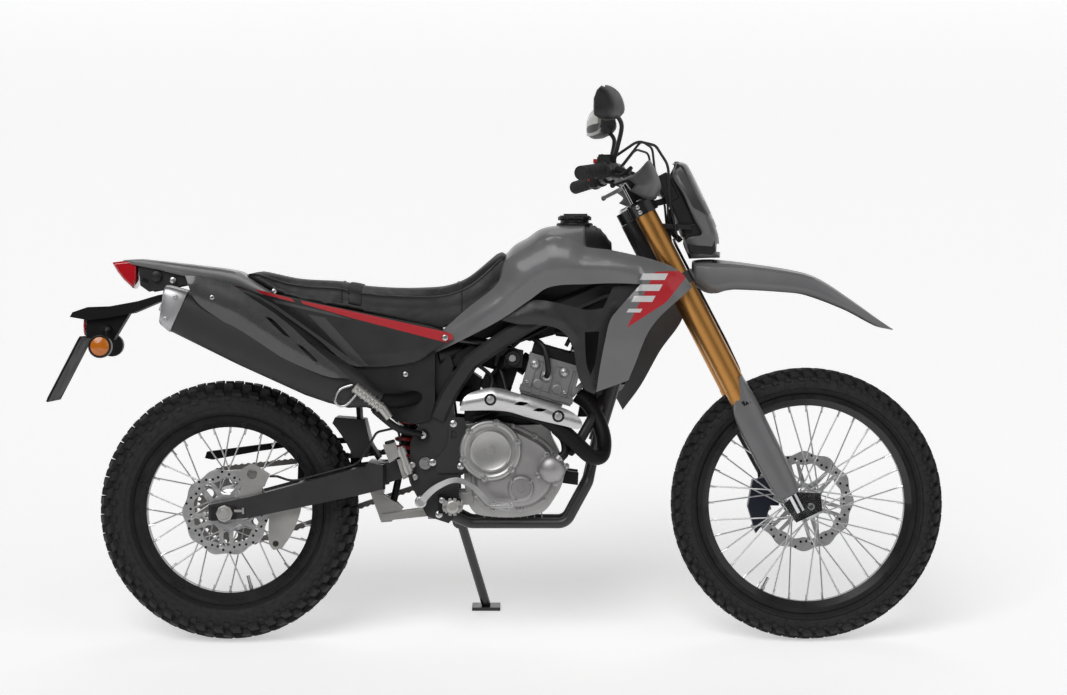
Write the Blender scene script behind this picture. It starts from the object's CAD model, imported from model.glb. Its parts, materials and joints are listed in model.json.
"""Dual sport motorcycle on its side stand: finishes, padded seat, body panels, tread, hoses and trim."""
import json
from math import asin, copysign, cos, hypot, pi, radians, sin

import bmesh
import bpy
from mathutils import Matrix, Vector
from mathutils.bvhtree import BVHTree


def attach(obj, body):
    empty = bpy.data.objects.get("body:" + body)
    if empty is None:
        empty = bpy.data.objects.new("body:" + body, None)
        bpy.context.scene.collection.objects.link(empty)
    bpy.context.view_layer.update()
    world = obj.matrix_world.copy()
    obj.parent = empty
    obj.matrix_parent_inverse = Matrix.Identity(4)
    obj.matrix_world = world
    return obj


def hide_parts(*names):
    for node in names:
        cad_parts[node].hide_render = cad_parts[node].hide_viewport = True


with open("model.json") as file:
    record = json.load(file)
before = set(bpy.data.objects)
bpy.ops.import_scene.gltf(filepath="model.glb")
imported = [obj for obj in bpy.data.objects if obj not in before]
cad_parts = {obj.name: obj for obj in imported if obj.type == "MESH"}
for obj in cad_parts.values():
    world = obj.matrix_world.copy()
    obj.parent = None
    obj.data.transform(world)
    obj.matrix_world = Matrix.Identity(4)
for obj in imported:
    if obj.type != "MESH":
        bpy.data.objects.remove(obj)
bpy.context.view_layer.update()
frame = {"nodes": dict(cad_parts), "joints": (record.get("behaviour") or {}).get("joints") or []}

# ---------------------------------------------------------------- places
# Sizes are millimetres in the upright machine's own frame: X ahead, Y to its left, Z up, with its
# origin on the ground midway between the wheels. PARK carries them into the frame, in metres.

WHEELBASE = 1455.0
RAKE = radians(27.5)
TRAIL = 109.0
LEAN = radians(10.0)
FRONT_TYRE_R = 343.0
REAR_TYRE_R = 326.5
FRONT_BEAD_R = 266.7
REAR_BEAD_R = 228.6
AXLE_F = Vector((WHEELBASE / 2, 0, FRONT_TYRE_R))
AXLE_R = Vector((-WHEELBASE / 2, 0, REAR_TYRE_R))
STEER_UP = Vector((-sin(RAKE), 0, cos(RAKE)))
STEER_FWD = Vector((cos(RAKE), 0, sin(RAKE)))
STEER_GROUND = Vector((WHEELBASE / 2 + TRAIL, 0, 0))
STEER_FOOT = STEER_GROUND + STEER_UP * (AXLE_F - STEER_GROUND).dot(STEER_UP)
FORK_OFFSET = 33.7
FORK_SPREAD = 98.0
CLAMP_TOP = 864.0
BAR_AHEAD = 39.3
BAR_MIDDLE = STEER_FOOT + STEER_FWD * BAR_AHEAD + STEER_UP * (CLAMP_TOP + 40.5)
BAR_BEND = BAR_MIDDLE + Vector((-40, 190, 46))
BAR_END = BAR_MIDDLE + Vector((-139, 400, 22))

joints = {joint["name"]: joint for joint in frame["joints"]}
PARK = (Matrix.Translation(Vector(joints["front_wheel_spin"]["pos_m"])) @ Matrix.Rotation(-LEAN, 4, "X")
        @ Matrix.Scale(0.001, 4) @ Matrix.Translation(-AXLE_F))
UPRIGHT = PARK.inverted()
SIDES = (-1, 1)
LEFT = (0, 1, 0)
RIGHT = (0, -1, 0)
UP = (0, 0, 1)


def beside(y):
    """Step to the left by that much."""
    return Vector((0, y, 0))


def spoke(angle):
    """Unit step in the side view at that angle, from straight ahead towards straight up."""
    return Vector((cos(angle), 0, sin(angle)))


def steer(forward, side, along):
    """Point ahead of, beside and along the steering axis."""
    return STEER_FOOT + STEER_FWD * forward + STEER_UP * along + beside(side)


# ---------------------------------------------------------------- finishes


class Value:
    """A shader socket that takes part in Python sums."""

    def __init__(self, finish, socket):
        self.finish = finish
        self.socket = socket

    def maths(self, operation, first, second=0.0):
        return self.finish.node("ShaderNodeMath", {"operation": operation}, {0: first, 1: second})

    def __add__(self, other):
        return self.maths("ADD", self, other)

    def __sub__(self, other):
        return self.maths("SUBTRACT", self, other)

    def __rsub__(self, other):
        return self.maths("SUBTRACT", other, self)

    def __mul__(self, other):
        return self.maths("MULTIPLY", self, other)

    __radd__ = __add__
    __rmul__ = __mul__

    def above(self, other):
        return self.maths("GREATER_THAN", self, other)

    def least(self, other):
        return self.maths("MINIMUM", self, other)

    def most(self, other):
        return self.maths("MAXIMUM", self, other)


class Finish:
    """One material. Its node method adds any node and gives the socket that comes out of it."""

    def __init__(self, name, colour, rough, metal=0.0, coat=0.0):
        self.data = bpy.data.materials.new(name)
        self.data.use_nodes = True
        self.tree = self.data.node_tree
        self.skin = self.tree.nodes["Principled BSDF"]
        self.place = self.node("ShaderNodeTexCoord", output="Object")
        self.colour = colour
        self.set("Base Color", (*colour, 1.0))
        self.set("Roughness", rough)
        self.set("Metallic", metal)
        self.set("Coat Weight", coat)
        self.set("Coat Roughness", 0.05)

    def node(self, kind, settings=None, sockets=None, output=0):
        made = self.tree.nodes.new(kind)
        for key, value in (settings or {}).items():
            if key == "stops":
                ramp = made.color_ramp.elements
                while len(ramp) < len(value):
                    ramp.new(0.5)
                for stop, (spot, colour) in zip(ramp, value):
                    stop.position = spot
                    stop.color = colour
            else:
                setattr(made, key, value)
        for key, value in (sockets or {}).items():
            self.feed(made.inputs[key], value)
        return Value(self, made.outputs[output])

    def feed(self, socket, value):
        if isinstance(value, Value):
            self.tree.links.new(value.socket, socket)
        else:
            socket.default_value = value

    def set(self, key, value):
        self.feed(self.skin.inputs[key], value)

    def noise(self, size, detail=3.0, stretch=(1, 1, 1)):
        """Cloudy value about 0.5 whose blotches are about that many millimetres wide."""
        where = self.place
        if stretch != (1, 1, 1):
            where = self.node("ShaderNodeMapping", None, {"Vector": self.place, "Scale": stretch})
        return self.node("ShaderNodeTexNoise", None, {"Vector": where, "Scale": 1000.0 / size, "Detail": detail})

    def cells(self, size, feature="F1"):
        """Distance from the middle of cells that many millimetres wide."""
        return self.node("ShaderNodeTexVoronoi", {"feature": feature}, {"Vector": self.place, "Scale": 1000.0 / size},
            "Distance")

    def spread(self, value, low, high, to_low=0.0, to_high=1.0):
        """Value from low to high carried evenly to another range and held at its ends."""
        return self.node("ShaderNodeMapRange", {"clamp": True}, {"Value": value, "From Min": low, "From Max": high,
            "To Min": to_low, "To Max": to_high})

    def mix(self, mask, first, second):
        """Colour that goes from the first to the second as the mask goes from 0 to 1."""
        def full(colour):
            return colour if isinstance(colour, Value) else (*colour, 1.0)
        return self.node("ShaderNodeMix", {"data_type": "RGBA"}, {0: mask, 6: full(first), 7: full(second)}, 2)

    def relief(self, height, depth):
        """Bumps that stand that many millimetres proud."""
        self.set("Normal", self.node("ShaderNodeBump", None, {"Height": height, "Distance": depth / 1000.0}))

    def shade(self, share, size=60.0):
        """Slow change of the colour, by that share each way."""
        cloud = self.spread(self.noise(size), 0.3, 0.7)
        low = [channel * (1 - share) for channel in self.colour]
        high = [min(1.0, channel * (1 + share)) for channel in self.colour]
        self.set("Base Color", self.mix(cloud, low, high))
        return self

    def dull(self, low, high, size=25.0):
        """Roughness that wanders between two values."""
        self.set("Roughness", self.spread(self.noise(size, 5.0), 0.3, 0.7, low, high))
        return self

    def upright(self):
        """How far ahead and how far up the place is on the upright machine, in millimetres."""
        split = self.node("ShaderNodeVectorTransform", {"vector_type": "POINT", "convert_from": "OBJECT",
            "convert_to": "OBJECT"}, {"Vector": self.place})
        axes = self.tree.nodes.new("ShaderNodeSeparateXYZ")
        self.feed(axes.inputs[0], split)
        parts = [Value(self, socket) for socket in axes.outputs]
        return [parts[0] * UPRIGHT[row][0] + parts[1] * UPRIGHT[row][1] + parts[2] * UPRIGHT[row][2]
                + UPRIGHT[row][3] for row in (0, 2)]

    def inside(self, across, up, corners):
        """1 within a flat shape with no inward corners, given anticlockwise, and 0 outside it."""
        mask = None
        for (x0, z0), (x1, z1) in zip(corners, corners[1:] + corners[:1]):
            length = hypot(x1 - x0, z1 - z0)
            a, b = -(z1 - z0) / length, (x1 - x0) / length
            depth = across * a + up * b - (x0 * a + z0 * b)
            mask = depth if mask is None else mask.least(depth)
        return mask.above(0.0)

    def patches(self, across, up, *shapes):
        """1 within any of several such shapes."""
        mask = self.inside(across, up, shapes[0])
        for corners in shapes[1:]:
            mask = mask.most(self.inside(across, up, corners))
        return mask


def plastic(name, colour, rough, grain=0.25, coat=0.0):
    """Moulded plastic with a fine grain."""
    made = Finish(name, colour, rough, coat=coat)
    made.shade(0.08, 120.0).dull(rough - 0.06, rough + 0.08, 40.0)
    if grain:
        made.relief(made.cells(1.6) * 0.6 + made.noise(0.9), 0.05 * grain)
    return made


def cast(name, colour, rough, depth=0.015):
    """Sand-cast aluminium, a little blotchy."""
    made = Finish(name, colour, rough, metal=0.75)
    made.shade(0.08, 60.0).dull(rough - 0.02, rough + 0.05, 60.0)
    if depth:
        made.relief(made.noise(2.6, 2.0), depth)
    return made


def brushed(name, colour, rough, stretch):
    """Metal with fine lines one way."""
    made = Finish(name, colour, rough, metal=1.0)
    lines = made.noise(16.0, 2.0, stretch)
    made.set("Roughness", made.spread(lines, 0.3, 0.7, rough - 0.01, rough + 0.06))
    made.set("Base Color", made.mix(made.spread(lines, 0.3, 0.7), [c * 0.86 for c in colour], colour))
    return made


def rubber(name, colour, rough):
    """Rubber with an uneven, grainy skin."""
    made = Finish(name, colour, rough)
    made.shade(0.25, 18.0).dull(rough - 0.08, rough + 0.1, 10.0)
    made.relief(made.noise(1.6, 5.0), 0.1)
    return made


GREY = (0.185, 0.185, 0.19)
CHARCOAL = (0.024, 0.024, 0.025)
RED = (0.56, 0.024, 0.034)
WHITE = (0.78, 0.78, 0.78)

panel_grey = plastic("panel_grey", GREY, 0.34, 0.1, coat=0.25)
dark_plastic = plastic("dark_plastic", CHARCOAL, 0.5)
black_plastic = plastic("black_plastic", (0.009, 0.009, 0.0095), 0.44)
satin_charcoal = plastic("satin_charcoal", (0.03, 0.03, 0.031), 0.38, 0.4)
frame_paint = plastic("frame_paint", (0.028, 0.027, 0.028), 0.42, 0.3, coat=0.15)
black_paint = plastic("black_paint", (0.01, 0.01, 0.011), 0.3, 0.15, coat=0.3)
tyre_rubber = rubber("tyre_rubber", (0.0095, 0.0095, 0.0095), 0.72)
grip_rubber = rubber("grip_rubber", (0.009, 0.009, 0.009), 0.66)
hose_rubber = rubber("hose_rubber", (0.008, 0.008, 0.0085), 0.45)
case_metal = cast("case_metal", (0.44, 0.435, 0.43), 0.42)
cover_metal = cast("cover_metal", (0.4, 0.39, 0.39), 0.4, 0.0)
cylinder_metal = cast("cylinder_metal", (0.3, 0.3, 0.305), 0.48)
black_case = cast("black_case", (0.02, 0.02, 0.021), 0.48)
bright_steel = brushed("bright_steel", (0.66, 0.66, 0.67), 0.26, (1, 1, 1))
spoke_steel = brushed("spoke_steel", (0.6, 0.6, 0.61), 0.3, (1, 1, 1))
disc_steel = brushed("disc_steel", (0.6, 0.6, 0.6), 0.34, (1, 12, 1))
shield_metal = brushed("shield_metal", (0.66, 0.65, 0.66), 0.33, (1, 1, 14))
chrome = Finish("chrome", (0.7, 0.7, 0.72), 0.1, metal=1.0).shade(0.04, 50.0).dull(0.07, 0.16, 30.0)
gold = Finish("gold_anodised", (0.56, 0.27, 0.075), 0.34, metal=0.88).shade(0.04, 120.0).dull(0.33, 0.36, 90.0)
zinc = cast("zinc_plate", (0.52, 0.51, 0.49), 0.34, 0.0)
chain_steel = cast("chain_steel", (0.2, 0.19, 0.18), 0.38)
black_metal = cast("black_metal", (0.022, 0.022, 0.023), 0.38, 0.03)
pipe_black = cast("pipe_black", (0.012, 0.012, 0.012), 0.52, 0.06)
vinyl = Finish("seat_vinyl", (0.0105, 0.0105, 0.011), 0.5).shade(0.2, 40.0)
vinyl.dull(0.46, 0.6, 30.0)
vinyl.relief(vinyl.cells(2.2, "DISTANCE_TO_EDGE") * 0.7 + vinyl.noise(0.9), 0.1)
red_lens = Finish("red_lens", (0.6, 0.012, 0.022), 0.12, coat=0.6).shade(0.06, 30.0)
red_lens.relief(red_lens.cells(5.0), 0.15)
amber_lens = Finish("amber_lens", (0.7, 0.19, 0.012), 0.14, coat=0.6).shade(0.06, 20.0)
amber_lens.relief(amber_lens.cells(3.4), 0.25)
clear_lens = Finish("lamp_glass", (0.75, 0.77, 0.8), 0.06, coat=0.8).shade(0.05, 30.0)
smoke = Finish("smoke_screen", (0.03, 0.03, 0.032), 0.16, coat=0.5).shade(0.05, 60.0)
mirror_glass = Finish("mirror_glass", (0.4, 0.41, 0.37), 0.14, metal=0.3, coat=0.4).shade(0.03, 60.0)
red_plastic = plastic("red_plastic", RED, 0.34, 0.2)
strap_web = plastic("strap_webbing", (0.014, 0.014, 0.015), 0.6, 0.5)
clutch_metal = cast("clutch_cover_metal", (0.47, 0.465, 0.46), 0.36, 0.0)
pedal_steel = cast("pedal_steel", (0.66, 0.66, 0.66), 0.3, 0.0)
lever_metal = cast("lever_metal", (0.05, 0.05, 0.052), 0.34, 0.0)
guard_grey = plastic("guard_grey", (0.042, 0.042, 0.044), 0.42, 0.3)
cowl_grey = plastic("cowl_grey", (0.15, 0.15, 0.155), 0.34, 0.1, coat=0.25)
shaded_edge = cowl_grey.inside(*cowl_grey.upright(), [(393, 1172), (437, 1086), (491, 1056), (470, 1114), (425, 1194)])
cowl_grey.set("Base Color", cowl_grey.mix(shaded_edge, cowl_grey.colour, (0.045, 0.045, 0.047)))
plate_white = plastic("plate_white", (0.55, 0.55, 0.54), 0.4)
matt_black = plastic("matt_black", (0.009, 0.009, 0.0095), 0.58)
matt_black.set("Specular IOR Level", 0.15)
fin_core = Finish("fin_core", (0.02, 0.02, 0.02), 0.5, metal=0.5).shade(0.2, 8.0)
fin_core.relief(fin_core.node("ShaderNodeTexWave", {"bands_direction": "Z"},
    {"Vector": fin_core.place, "Scale": 90.0, "Distortion": 0.0}), 0.6)
spring_red = plastic("spring_red", (0.42, 0.02, 0.025), 0.32, 0.1, coat=0.4)
blue_black = cast("caliper_dark", (0.03, 0.033, 0.05), 0.4, 0.05)
end_cap_metal = cast("end_cap_metal", (0.46, 0.46, 0.47), 0.34, 0.0)
gloss_charcoal = plastic("gloss_charcoal", (0.07, 0.069, 0.071), 0.24, 0.05, coat=0.5)


def make_graphic_grey():
    """Grey panel with a slanted red band and white bars on its front wings, and a red tip behind."""
    made = plastic("graphic_grey", GREY, 0.34, 0.1, coat=0.25)
    x, z = made.upright()
    cloud = made.spread(made.noise(120.0), 0.3, 0.7)
    base = made.mix(cloud, [c * 0.93 for c in GREY], [c * 1.07 for c in GREY])
    red = made.patches(x, z,
        [(243, 735), (300, 770), (349, 830), (412, 880), (432, 893), (402, 928), (338, 925)],
        [(-260, 690), (-168, 772), (-196, 776), (-270, 740)])
    bars = []
    for left, low, long, tall in ((300, 905, 62, 16), (290, 878, 58, 16), (279, 851, 52, 15), (268, 825, 34, 9)):
        slant = tall * 0.55
        bars.append([(left, low), (left + long, low), (left + long + slant, low + tall), (left + slant, low + tall)])
    painted = made.mix(red, base, RED)
    made.set("Base Color", made.mix(made.patches(x, z, *bars), painted, WHITE))
    return made


def make_cover_finish():
    """Charcoal cover with a red stripe along its top and lighter folds."""
    made = plastic("cover_finish", CHARCOAL, 0.46, 0.4)
    x, z = made.upright()
    cloud = made.spread(made.noise(90.0), 0.3, 0.7)
    base = made.mix(cloud, [c * 0.9 for c in CHARCOAL], [c * 1.1 for c in CHARCOAL])
    light = made.inside(x, z, [(-420, 686), (-386, 690), (-600, 842), (-700, 896), (-720, 896)])
    light = light.most(made.inside(x, z, [(-520, 820), (-398, 692), (-370, 692), (-478, 812)]) * 0.6)
    light = light.most(made.inside(x, z, [(-600, 848), (-410, 806), (-470, 826), (-612, 858)]) * 0.8)
    red = made.patches(x, z,
        [(-748, 899), (-625, 868), (-552, 848), (-562, 860), (-625, 876), (-748, 908)],
        [(-530, 842), (-415, 812), (-180, 744), (-150, 768), (-205, 784), (-290, 803), (-440, 834), (-540, 856)])
    shaded = made.mix(light * 0.5, base, GREY)
    made.set("Base Color", made.mix(red, shaded, RED))
    return made


graphic_grey = make_graphic_grey()
cover_finish = make_cover_finish()

NODE_FINISHES = {
    frame_paint: ("main_frame", "swingarm"),
    black_paint: ("subframe", "front_rim", "rear_rim", "stand_bracket", "side_stand", "handlebar", "triple_clamps"),
    bright_steel: ("pivot_bolt", "front_axle"),
    spring_red: ("rear_shock",),
    case_metal: ("crankcase",),
    cylinder_metal: ("cylinder",),
    cover_metal: ("engine_covers",),
    chain_steel: ("drive_chain", "pinion", "sprocket"),
    pipe_black: ("exhaust_pipe",),
    shield_metal: ("heat_shield",),
    dark_plastic: ("silencer", "side_covers", "front_fender", "headlight_cowl"),
    panel_grey: ("fuel_tank", "shrouds", "fork_guards", "hand_guards", "tail_fender"),
    black_plastic: ("fuel_cap", "airbox", "intake", "meter", "mirrors", "hand_controls"),
    matt_black: ("inner_fender", "plate_holder", "chain_guard"),
    satin_charcoal: ("frame_guards",),
    vinyl: ("seat",),
    red_lens: ("tail_lamp",),
    fin_core: ("radiator",),
    black_metal: ("pedals", "footpegs"),
    zinc: ("rear_brake", "rear_axle", "shock_linkage"),
    gold: ("fork_tubes",),
    chrome: ("fork_lowers",),
    grip_rubber: ("grips",),
    hose_rubber: ("hoses", "rear_brake_hose"),
    clear_lens: ("headlight",),
    blue_black: ("front_caliper",),
    tyre_rubber: ("front_tyre", "rear_tyre"),
    spoke_steel: ("front_hub", "rear_hub"),
    disc_steel: ("front_disc", "rear_disc"),
}


def dress_nodes():
    """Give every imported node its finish."""
    for finish, names in NODE_FINISHES.items():
        for name in names:
            mesh = frame["nodes"][name].data
            mesh.materials.clear()
            mesh.materials.append(finish.data)


# ---------------------------------------------------------------- shape helpers


def table(spots):
    """Smooth value through (place, value) pairs, held at both ends."""
    places = [place for place, _ in spots]
    values = [value for _, value in spots]

    def read(where):
        if where <= places[0]:
            return values[0]
        if where >= places[-1]:
            return values[-1]
        k = max(i for i in range(len(places) - 1) if places[i] <= where)
        step = places[k + 1] - places[k]
        share = (where - places[k]) / step
        before = values[k - 1] if k else values[k]
        after = values[k + 2] if k + 2 < len(values) else values[k + 1]
        gap_before = places[k + 1] - places[k - 1] if k else step
        gap_after = places[k + 2] - places[k] if k + 2 < len(values) else step
        rise_start = (values[k + 1] - before) * step / gap_before
        rise_end = (after - values[k]) * step / gap_after
        a, b = share ** 2, share ** 3
        return ((2 * b - 3 * a + 1) * values[k] + (b - 2 * a + share) * rise_start
                + (3 * a - 2 * b) * values[k + 1] + (b - a) * rise_end)
    return read


def rounded(points, keep=38.0, step=7.0):
    """Closed line through points, curved except at corners that turn by more than keep degrees."""
    flat = [Vector(point) for point in points]
    count = len(flat)

    def near(index):
        return flat[index % count]

    def sharp(index):
        first, second = near(index) - near(index - 1), near(index + 1) - near(index)
        return first.angle(second, 0.0) > radians(keep)

    line = []
    for k in range(count):
        start, end = near(k), near(k + 1)
        before = start if sharp(k) else near(k - 1)
        after = end if sharp(k + 1) else near(k + 2)
        run = (end - start).length
        tangent_a = (end - before) * (run / max((end - before).length, 1e-6))
        tangent_b = (after - start) * (run / max((after - start).length, 1e-6))
        steps = max(1, round(run / step))
        for part in range(steps):
            t = part / steps
            a, b = t * t, t * t * t
            line.append(start * (2 * b - 3 * a + 1) + tangent_a * (b - 2 * a + t)
                        + end * (3 * a - 2 * b) + tangent_b * (b - a))
    return line


def angles(count, phase=0.0):
    """Evenly spaced angles all the way round."""
    return [2 * pi * (k + phase) / count for k in range(count)]


def spaced(start, span, steps):
    """Evenly spaced places from the start to the end of a span."""
    return [start + span * k / steps for k in range(steps + 1)]


def both_halves(half):
    """Whole (across, up) section from its right half, whose last point is in the middle."""
    return [*half, *((-across, up) for across, up in half[-2::-1])]


def arch(x, half, top, foot, section):
    """Points over a part at one place along it, from its (across, up) section."""
    return [Vector((x, half * across, foot + (top - foot) * up)) for across, up in section]


def from_foot(*spots):
    """Side outline measured from the point beside the front axle on the steering axis."""
    return [(STEER_FOOT.x + x, STEER_FOOT.z + z) for x, z in spots]


def placed(name, data):
    """New object with that data, in the scene."""
    made = bpy.data.objects.new(name, data)
    bpy.context.scene.collection.objects.link(made)
    return made


def away(point, line):
    """Distance in the side view from a point to a line of points."""
    best = 1e9
    for a, b in zip(line, line[1:]):
        run = b - a
        share = max(0.0, min(1.0, (point - a).dot(run) / max(run.length_squared, 1e-9)))
        best = min(best, (point - a - run * share).length)
    return best


class Shape:
    """Points and faces of one piece, in millimetres on the upright machine."""

    def __init__(self):
        self.points = []
        self.faces = []
        self.marks = []

    def add(self, points, faces, mark=0):
        base = len(self.points)
        self.points += [Vector(point) for point in points]
        self.faces += [tuple(base + k for k in face) for face in faces]
        self.marks += [mark] * len(faces)
        return self

    def rows(self, rows, ring=False, ends=False, mark=0):
        """Skin over rows of points, each row closed on itself if ring, with its ends filled if ends."""
        wide = len(rows[0])
        points = [point for row in rows for point in row]
        faces = []
        for r in range(len(rows) - 1):
            for k in range(wide if ring else wide - 1):
                a, b = r * wide + k, r * wide + (k + 1) % wide
                faces.append((a, b, b + wide, a + wide))
        if ends:
            last = (len(rows) - 1) * wide
            faces += [tuple(range(wide))[::-1], tuple(range(last, last + wide))]
        return self.add(points, faces, mark)

    def turned(self, section, centre, axis=LEFT, sides=32, closed=True, mark=0):
        """Ring or knob turned about an axis from (radius, along) pairs."""
        axis = Vector(axis).normalized()
        side = axis.orthogonal().normalized()
        other = axis.cross(side)
        rows = []
        for angle in angles(sides):
            out = side * cos(angle) + other * sin(angle)
            rows.append([Vector(centre) + out * radius + axis * along for radius, along in section])
        wide = len(section)
        points = [point for row in rows for point in row]
        faces = []
        for k in range(sides):
            for j in range(wide if closed else wide - 1):
                a, b = k * wide + j, k * wide + (j + 1) % wide
                c, d = ((k + 1) % sides) * wide + (j + 1) % wide, ((k + 1) % sides) * wide + j
                faces.append((a, b, c, d))
        if not closed:
            faces.append(tuple(k * wide for k in range(sides)))
            faces.append(tuple(k * wide + wide - 1 for k in range(sides))[::-1])
        return self.add(points, faces, mark)

    def lathe(self, section, centre, axis=LEFT, sides=32, mark=0):
        """Solid turned about an axis from (radius, along) pairs, with flat ends."""
        return self.turned(section, centre, axis, sides, False, mark)

    def knob(self, centre, axis, radius, height, edge=0.25, sides=20, mark=0):
        """Round head with a rounded rim that stands on a face."""
        rim = radius * edge
        return self.lathe(((radius, 0), (radius, height - rim), (radius - rim * 0.3, height - rim * 0.3),
            (radius - rim, height)), centre, axis, sides, mark)

    def bolt(self, centre, axis, radius, height, mark=0):
        """Bolt with a flange, six sides and a dimple."""
        self.lathe(((radius * 1.25, 0), (radius * 1.25, height * 0.2), (radius * 1.1, height * 0.3)), centre, axis,
            20, mark)
        return self.lathe(((radius * 0.95, height * 0.25), (radius * 0.95, height * 0.9), (radius * 0.8, height),
            (radius * 0.45, height), (radius * 0.35, height * 0.7)), centre, axis, 6, mark)

    def block(self, centre, size, turn=None, mark=0):
        """Box about a centre, turned by a matrix."""
        x, y, z = (part / 2 for part in size)
        corners = [Vector((i * x, j * y, k * z)) for i in (-1, 1) for j in (-1, 1) for k in (-1, 1)]
        if turn:
            corners = [turn @ corner for corner in corners]
        return self.add([Vector(centre) + corner for corner in corners], [(0, 1, 3, 2), (4, 6, 7, 5), (0, 4, 5, 1),
            (2, 3, 7, 6), (0, 2, 6, 4), (1, 5, 7, 3)], mark)

    def tube(self, path, radius, sides=16, mark=0, ends=True):
        """Round bar or hose along a line of points; radius is a number or a function of the share along it."""
        path = [Vector(point) for point in path]
        rows, side = [], None
        for k, point in enumerate(path):
            run = (path[min(k + 1, len(path) - 1)] - path[max(k - 1, 0)]).normalized()
            side = run.orthogonal() if side is None else side - run * side.dot(run)
            side.normalize()
            other = run.cross(side)
            size = radius(k / (len(path) - 1)) if callable(radius) else radius
            rows.append([point + (side * cos(a) + other * sin(a)) * size for a in angles(sides)])
        return self.rows(rows, True, ends, mark)

    def hose(self, points, radius, sides=16, mark=0):
        """Tube along a smooth line through points."""
        return self.tube(bend_line(points), radius, sides, mark)

    def slab(self, outline, y_from, y_to, mark=0):
        """Side outline made as thick as from one y to another."""
        rows = [[Vector((x, y, z)) for x, z in outline] for y in (y_from, y_to)]
        return self.rows(rows, True, True, mark)

    def panel(self, outlines, place, thick, step=9.0, keep=38.0):
        """Curved sheet whose side outline, and any holes in it, are given; place carries (x, z) to its outer face."""
        mesh = bmesh.new()
        for outline in outlines:
            loop = rounded(outline, keep)
            corners = [mesh.verts.new((point.x, point.y, 0)) for point in loop]
            for a, b in zip(corners, corners[1:] + corners[:1]):
                mesh.edges.new((a, b))
        bmesh.ops.triangle_fill(mesh, edges=mesh.edges[:], use_beauty=True, use_dissolve=False)
        spans = [[min(v.co[k] for v in mesh.verts), max(v.co[k] for v in mesh.verts)] for k in (0, 1)]
        for k, (low, high) in enumerate(spans):
            cut = (low // step + 1) * step
            while cut < high:
                spot, normal = Vector((0, 0, 0)), Vector((0, 0, 0))
                spot[k], normal[k] = cut, 1
                bmesh.ops.bisect_plane(mesh, geom=mesh.verts[:] + mesh.edges[:] + mesh.faces[:], dist=1e-4,
                    plane_co=spot, plane_no=normal)
                cut += step
        bmesh.ops.dissolve_limit(mesh, angle_limit=0.001, verts=[], edges=[
            e for e in mesh.edges if abs(e.verts[0].co.x - e.verts[1].co.x) > 1e-3
            and abs(e.verts[0].co.y - e.verts[1].co.y) > 1e-3 and not e.is_boundary])
        mesh.verts.index_update()
        outer = [place(v.co.x, v.co.y) for v in mesh.verts]
        faces = [tuple(v.index for v in face.verts) for face in mesh.faces]
        rim = [(e.verts[0].index, e.verts[1].index) for e in mesh.edges if e.is_boundary]
        mesh.free()
        count = len(outer)
        back = [tuple(k + count for k in face)[::-1] for face in faces]
        self.add(outer + [point + beside(thick) for point in outer], faces + back + [(a, b, b + count,
            a + count) for a, b in rim])

    def make(self, name, finishes, replaces=(), body="chassis", soft=0.0, crease=35.0, solid=0.0):
        """The Blender object, riding on its body, with its edges softened by that many millimetres."""
        mesh = bpy.data.meshes.new(name)
        mesh.from_pydata([PARK @ point for point in self.points], [], self.faces)
        finishes = finishes if isinstance(finishes, (list, tuple)) else (finishes,)
        for finish in finishes:
            mesh.materials.append(finish.data)
        mesh.polygons.foreach_set("material_index", self.marks)
        work = bmesh.new()
        work.from_mesh(mesh)
        bmesh.ops.remove_doubles(work, verts=work.verts[:], dist=1e-6)
        bmesh.ops.recalc_face_normals(work, faces=work.faces[:])
        work.to_mesh(mesh)
        work.free()
        made = placed(name, mesh)
        if solid:
            wall = made.modifiers.new("wall", "SOLIDIFY")
            wall.thickness = solid / 1000.0
            wall.offset = -1.0
        if soft:
            edge = made.modifiers.new("soft", "BEVEL")
            edge.width = soft / 1000.0
            edge.segments = 2
            edge.limit_method = "ANGLE"
            edge.angle_limit = radians(crease)
            edge.use_clamp_overlap = True
        mesh.shade_smooth()
        mesh.set_sharp_from_angle(angle=radians(crease))
        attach(made, body)
        if replaces:
            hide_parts(*replaces)
        return made


# ---------------------------------------------------------------- wheels


def tread_blocks(shape, axle, radius, rows, count):
    """Knobs that stand on the tread, in rows spread evenly round it."""
    for side, drop, tilt, long, wide, tall, phase in rows:
        lean = radians(tilt)
        for angle in angles(count, phase):
            out, along = spoke(angle), Vector((-sin(angle), 0, cos(angle)))
            up = out * cos(lean) + beside(sin(lean))
            across = along.cross(up)
            foot = axle + out * (radius - drop) + beside(side)
            corners = []
            for high, grow in ((-5.0, 1.16), (tall - 2.0, 1.04), (tall, 0.92)):
                for a, b in ((-1, -1), (1, -1), (1, 1), (-1, 1)):
                    corners.append(foot + up * high + along * (a * long / 2 * grow + b * long * 0.12)
                                   + across * (b * wide / 2 * grow))
            faces = [(8, 9, 10, 11)]
            for level in (0, 4):
                faces += [(level + j, level + (j + 1) % 4, level + 4 + (j + 1) % 4, level + 4 + j) for j in range(4)]
            shape.add(corners, faces)


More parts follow.
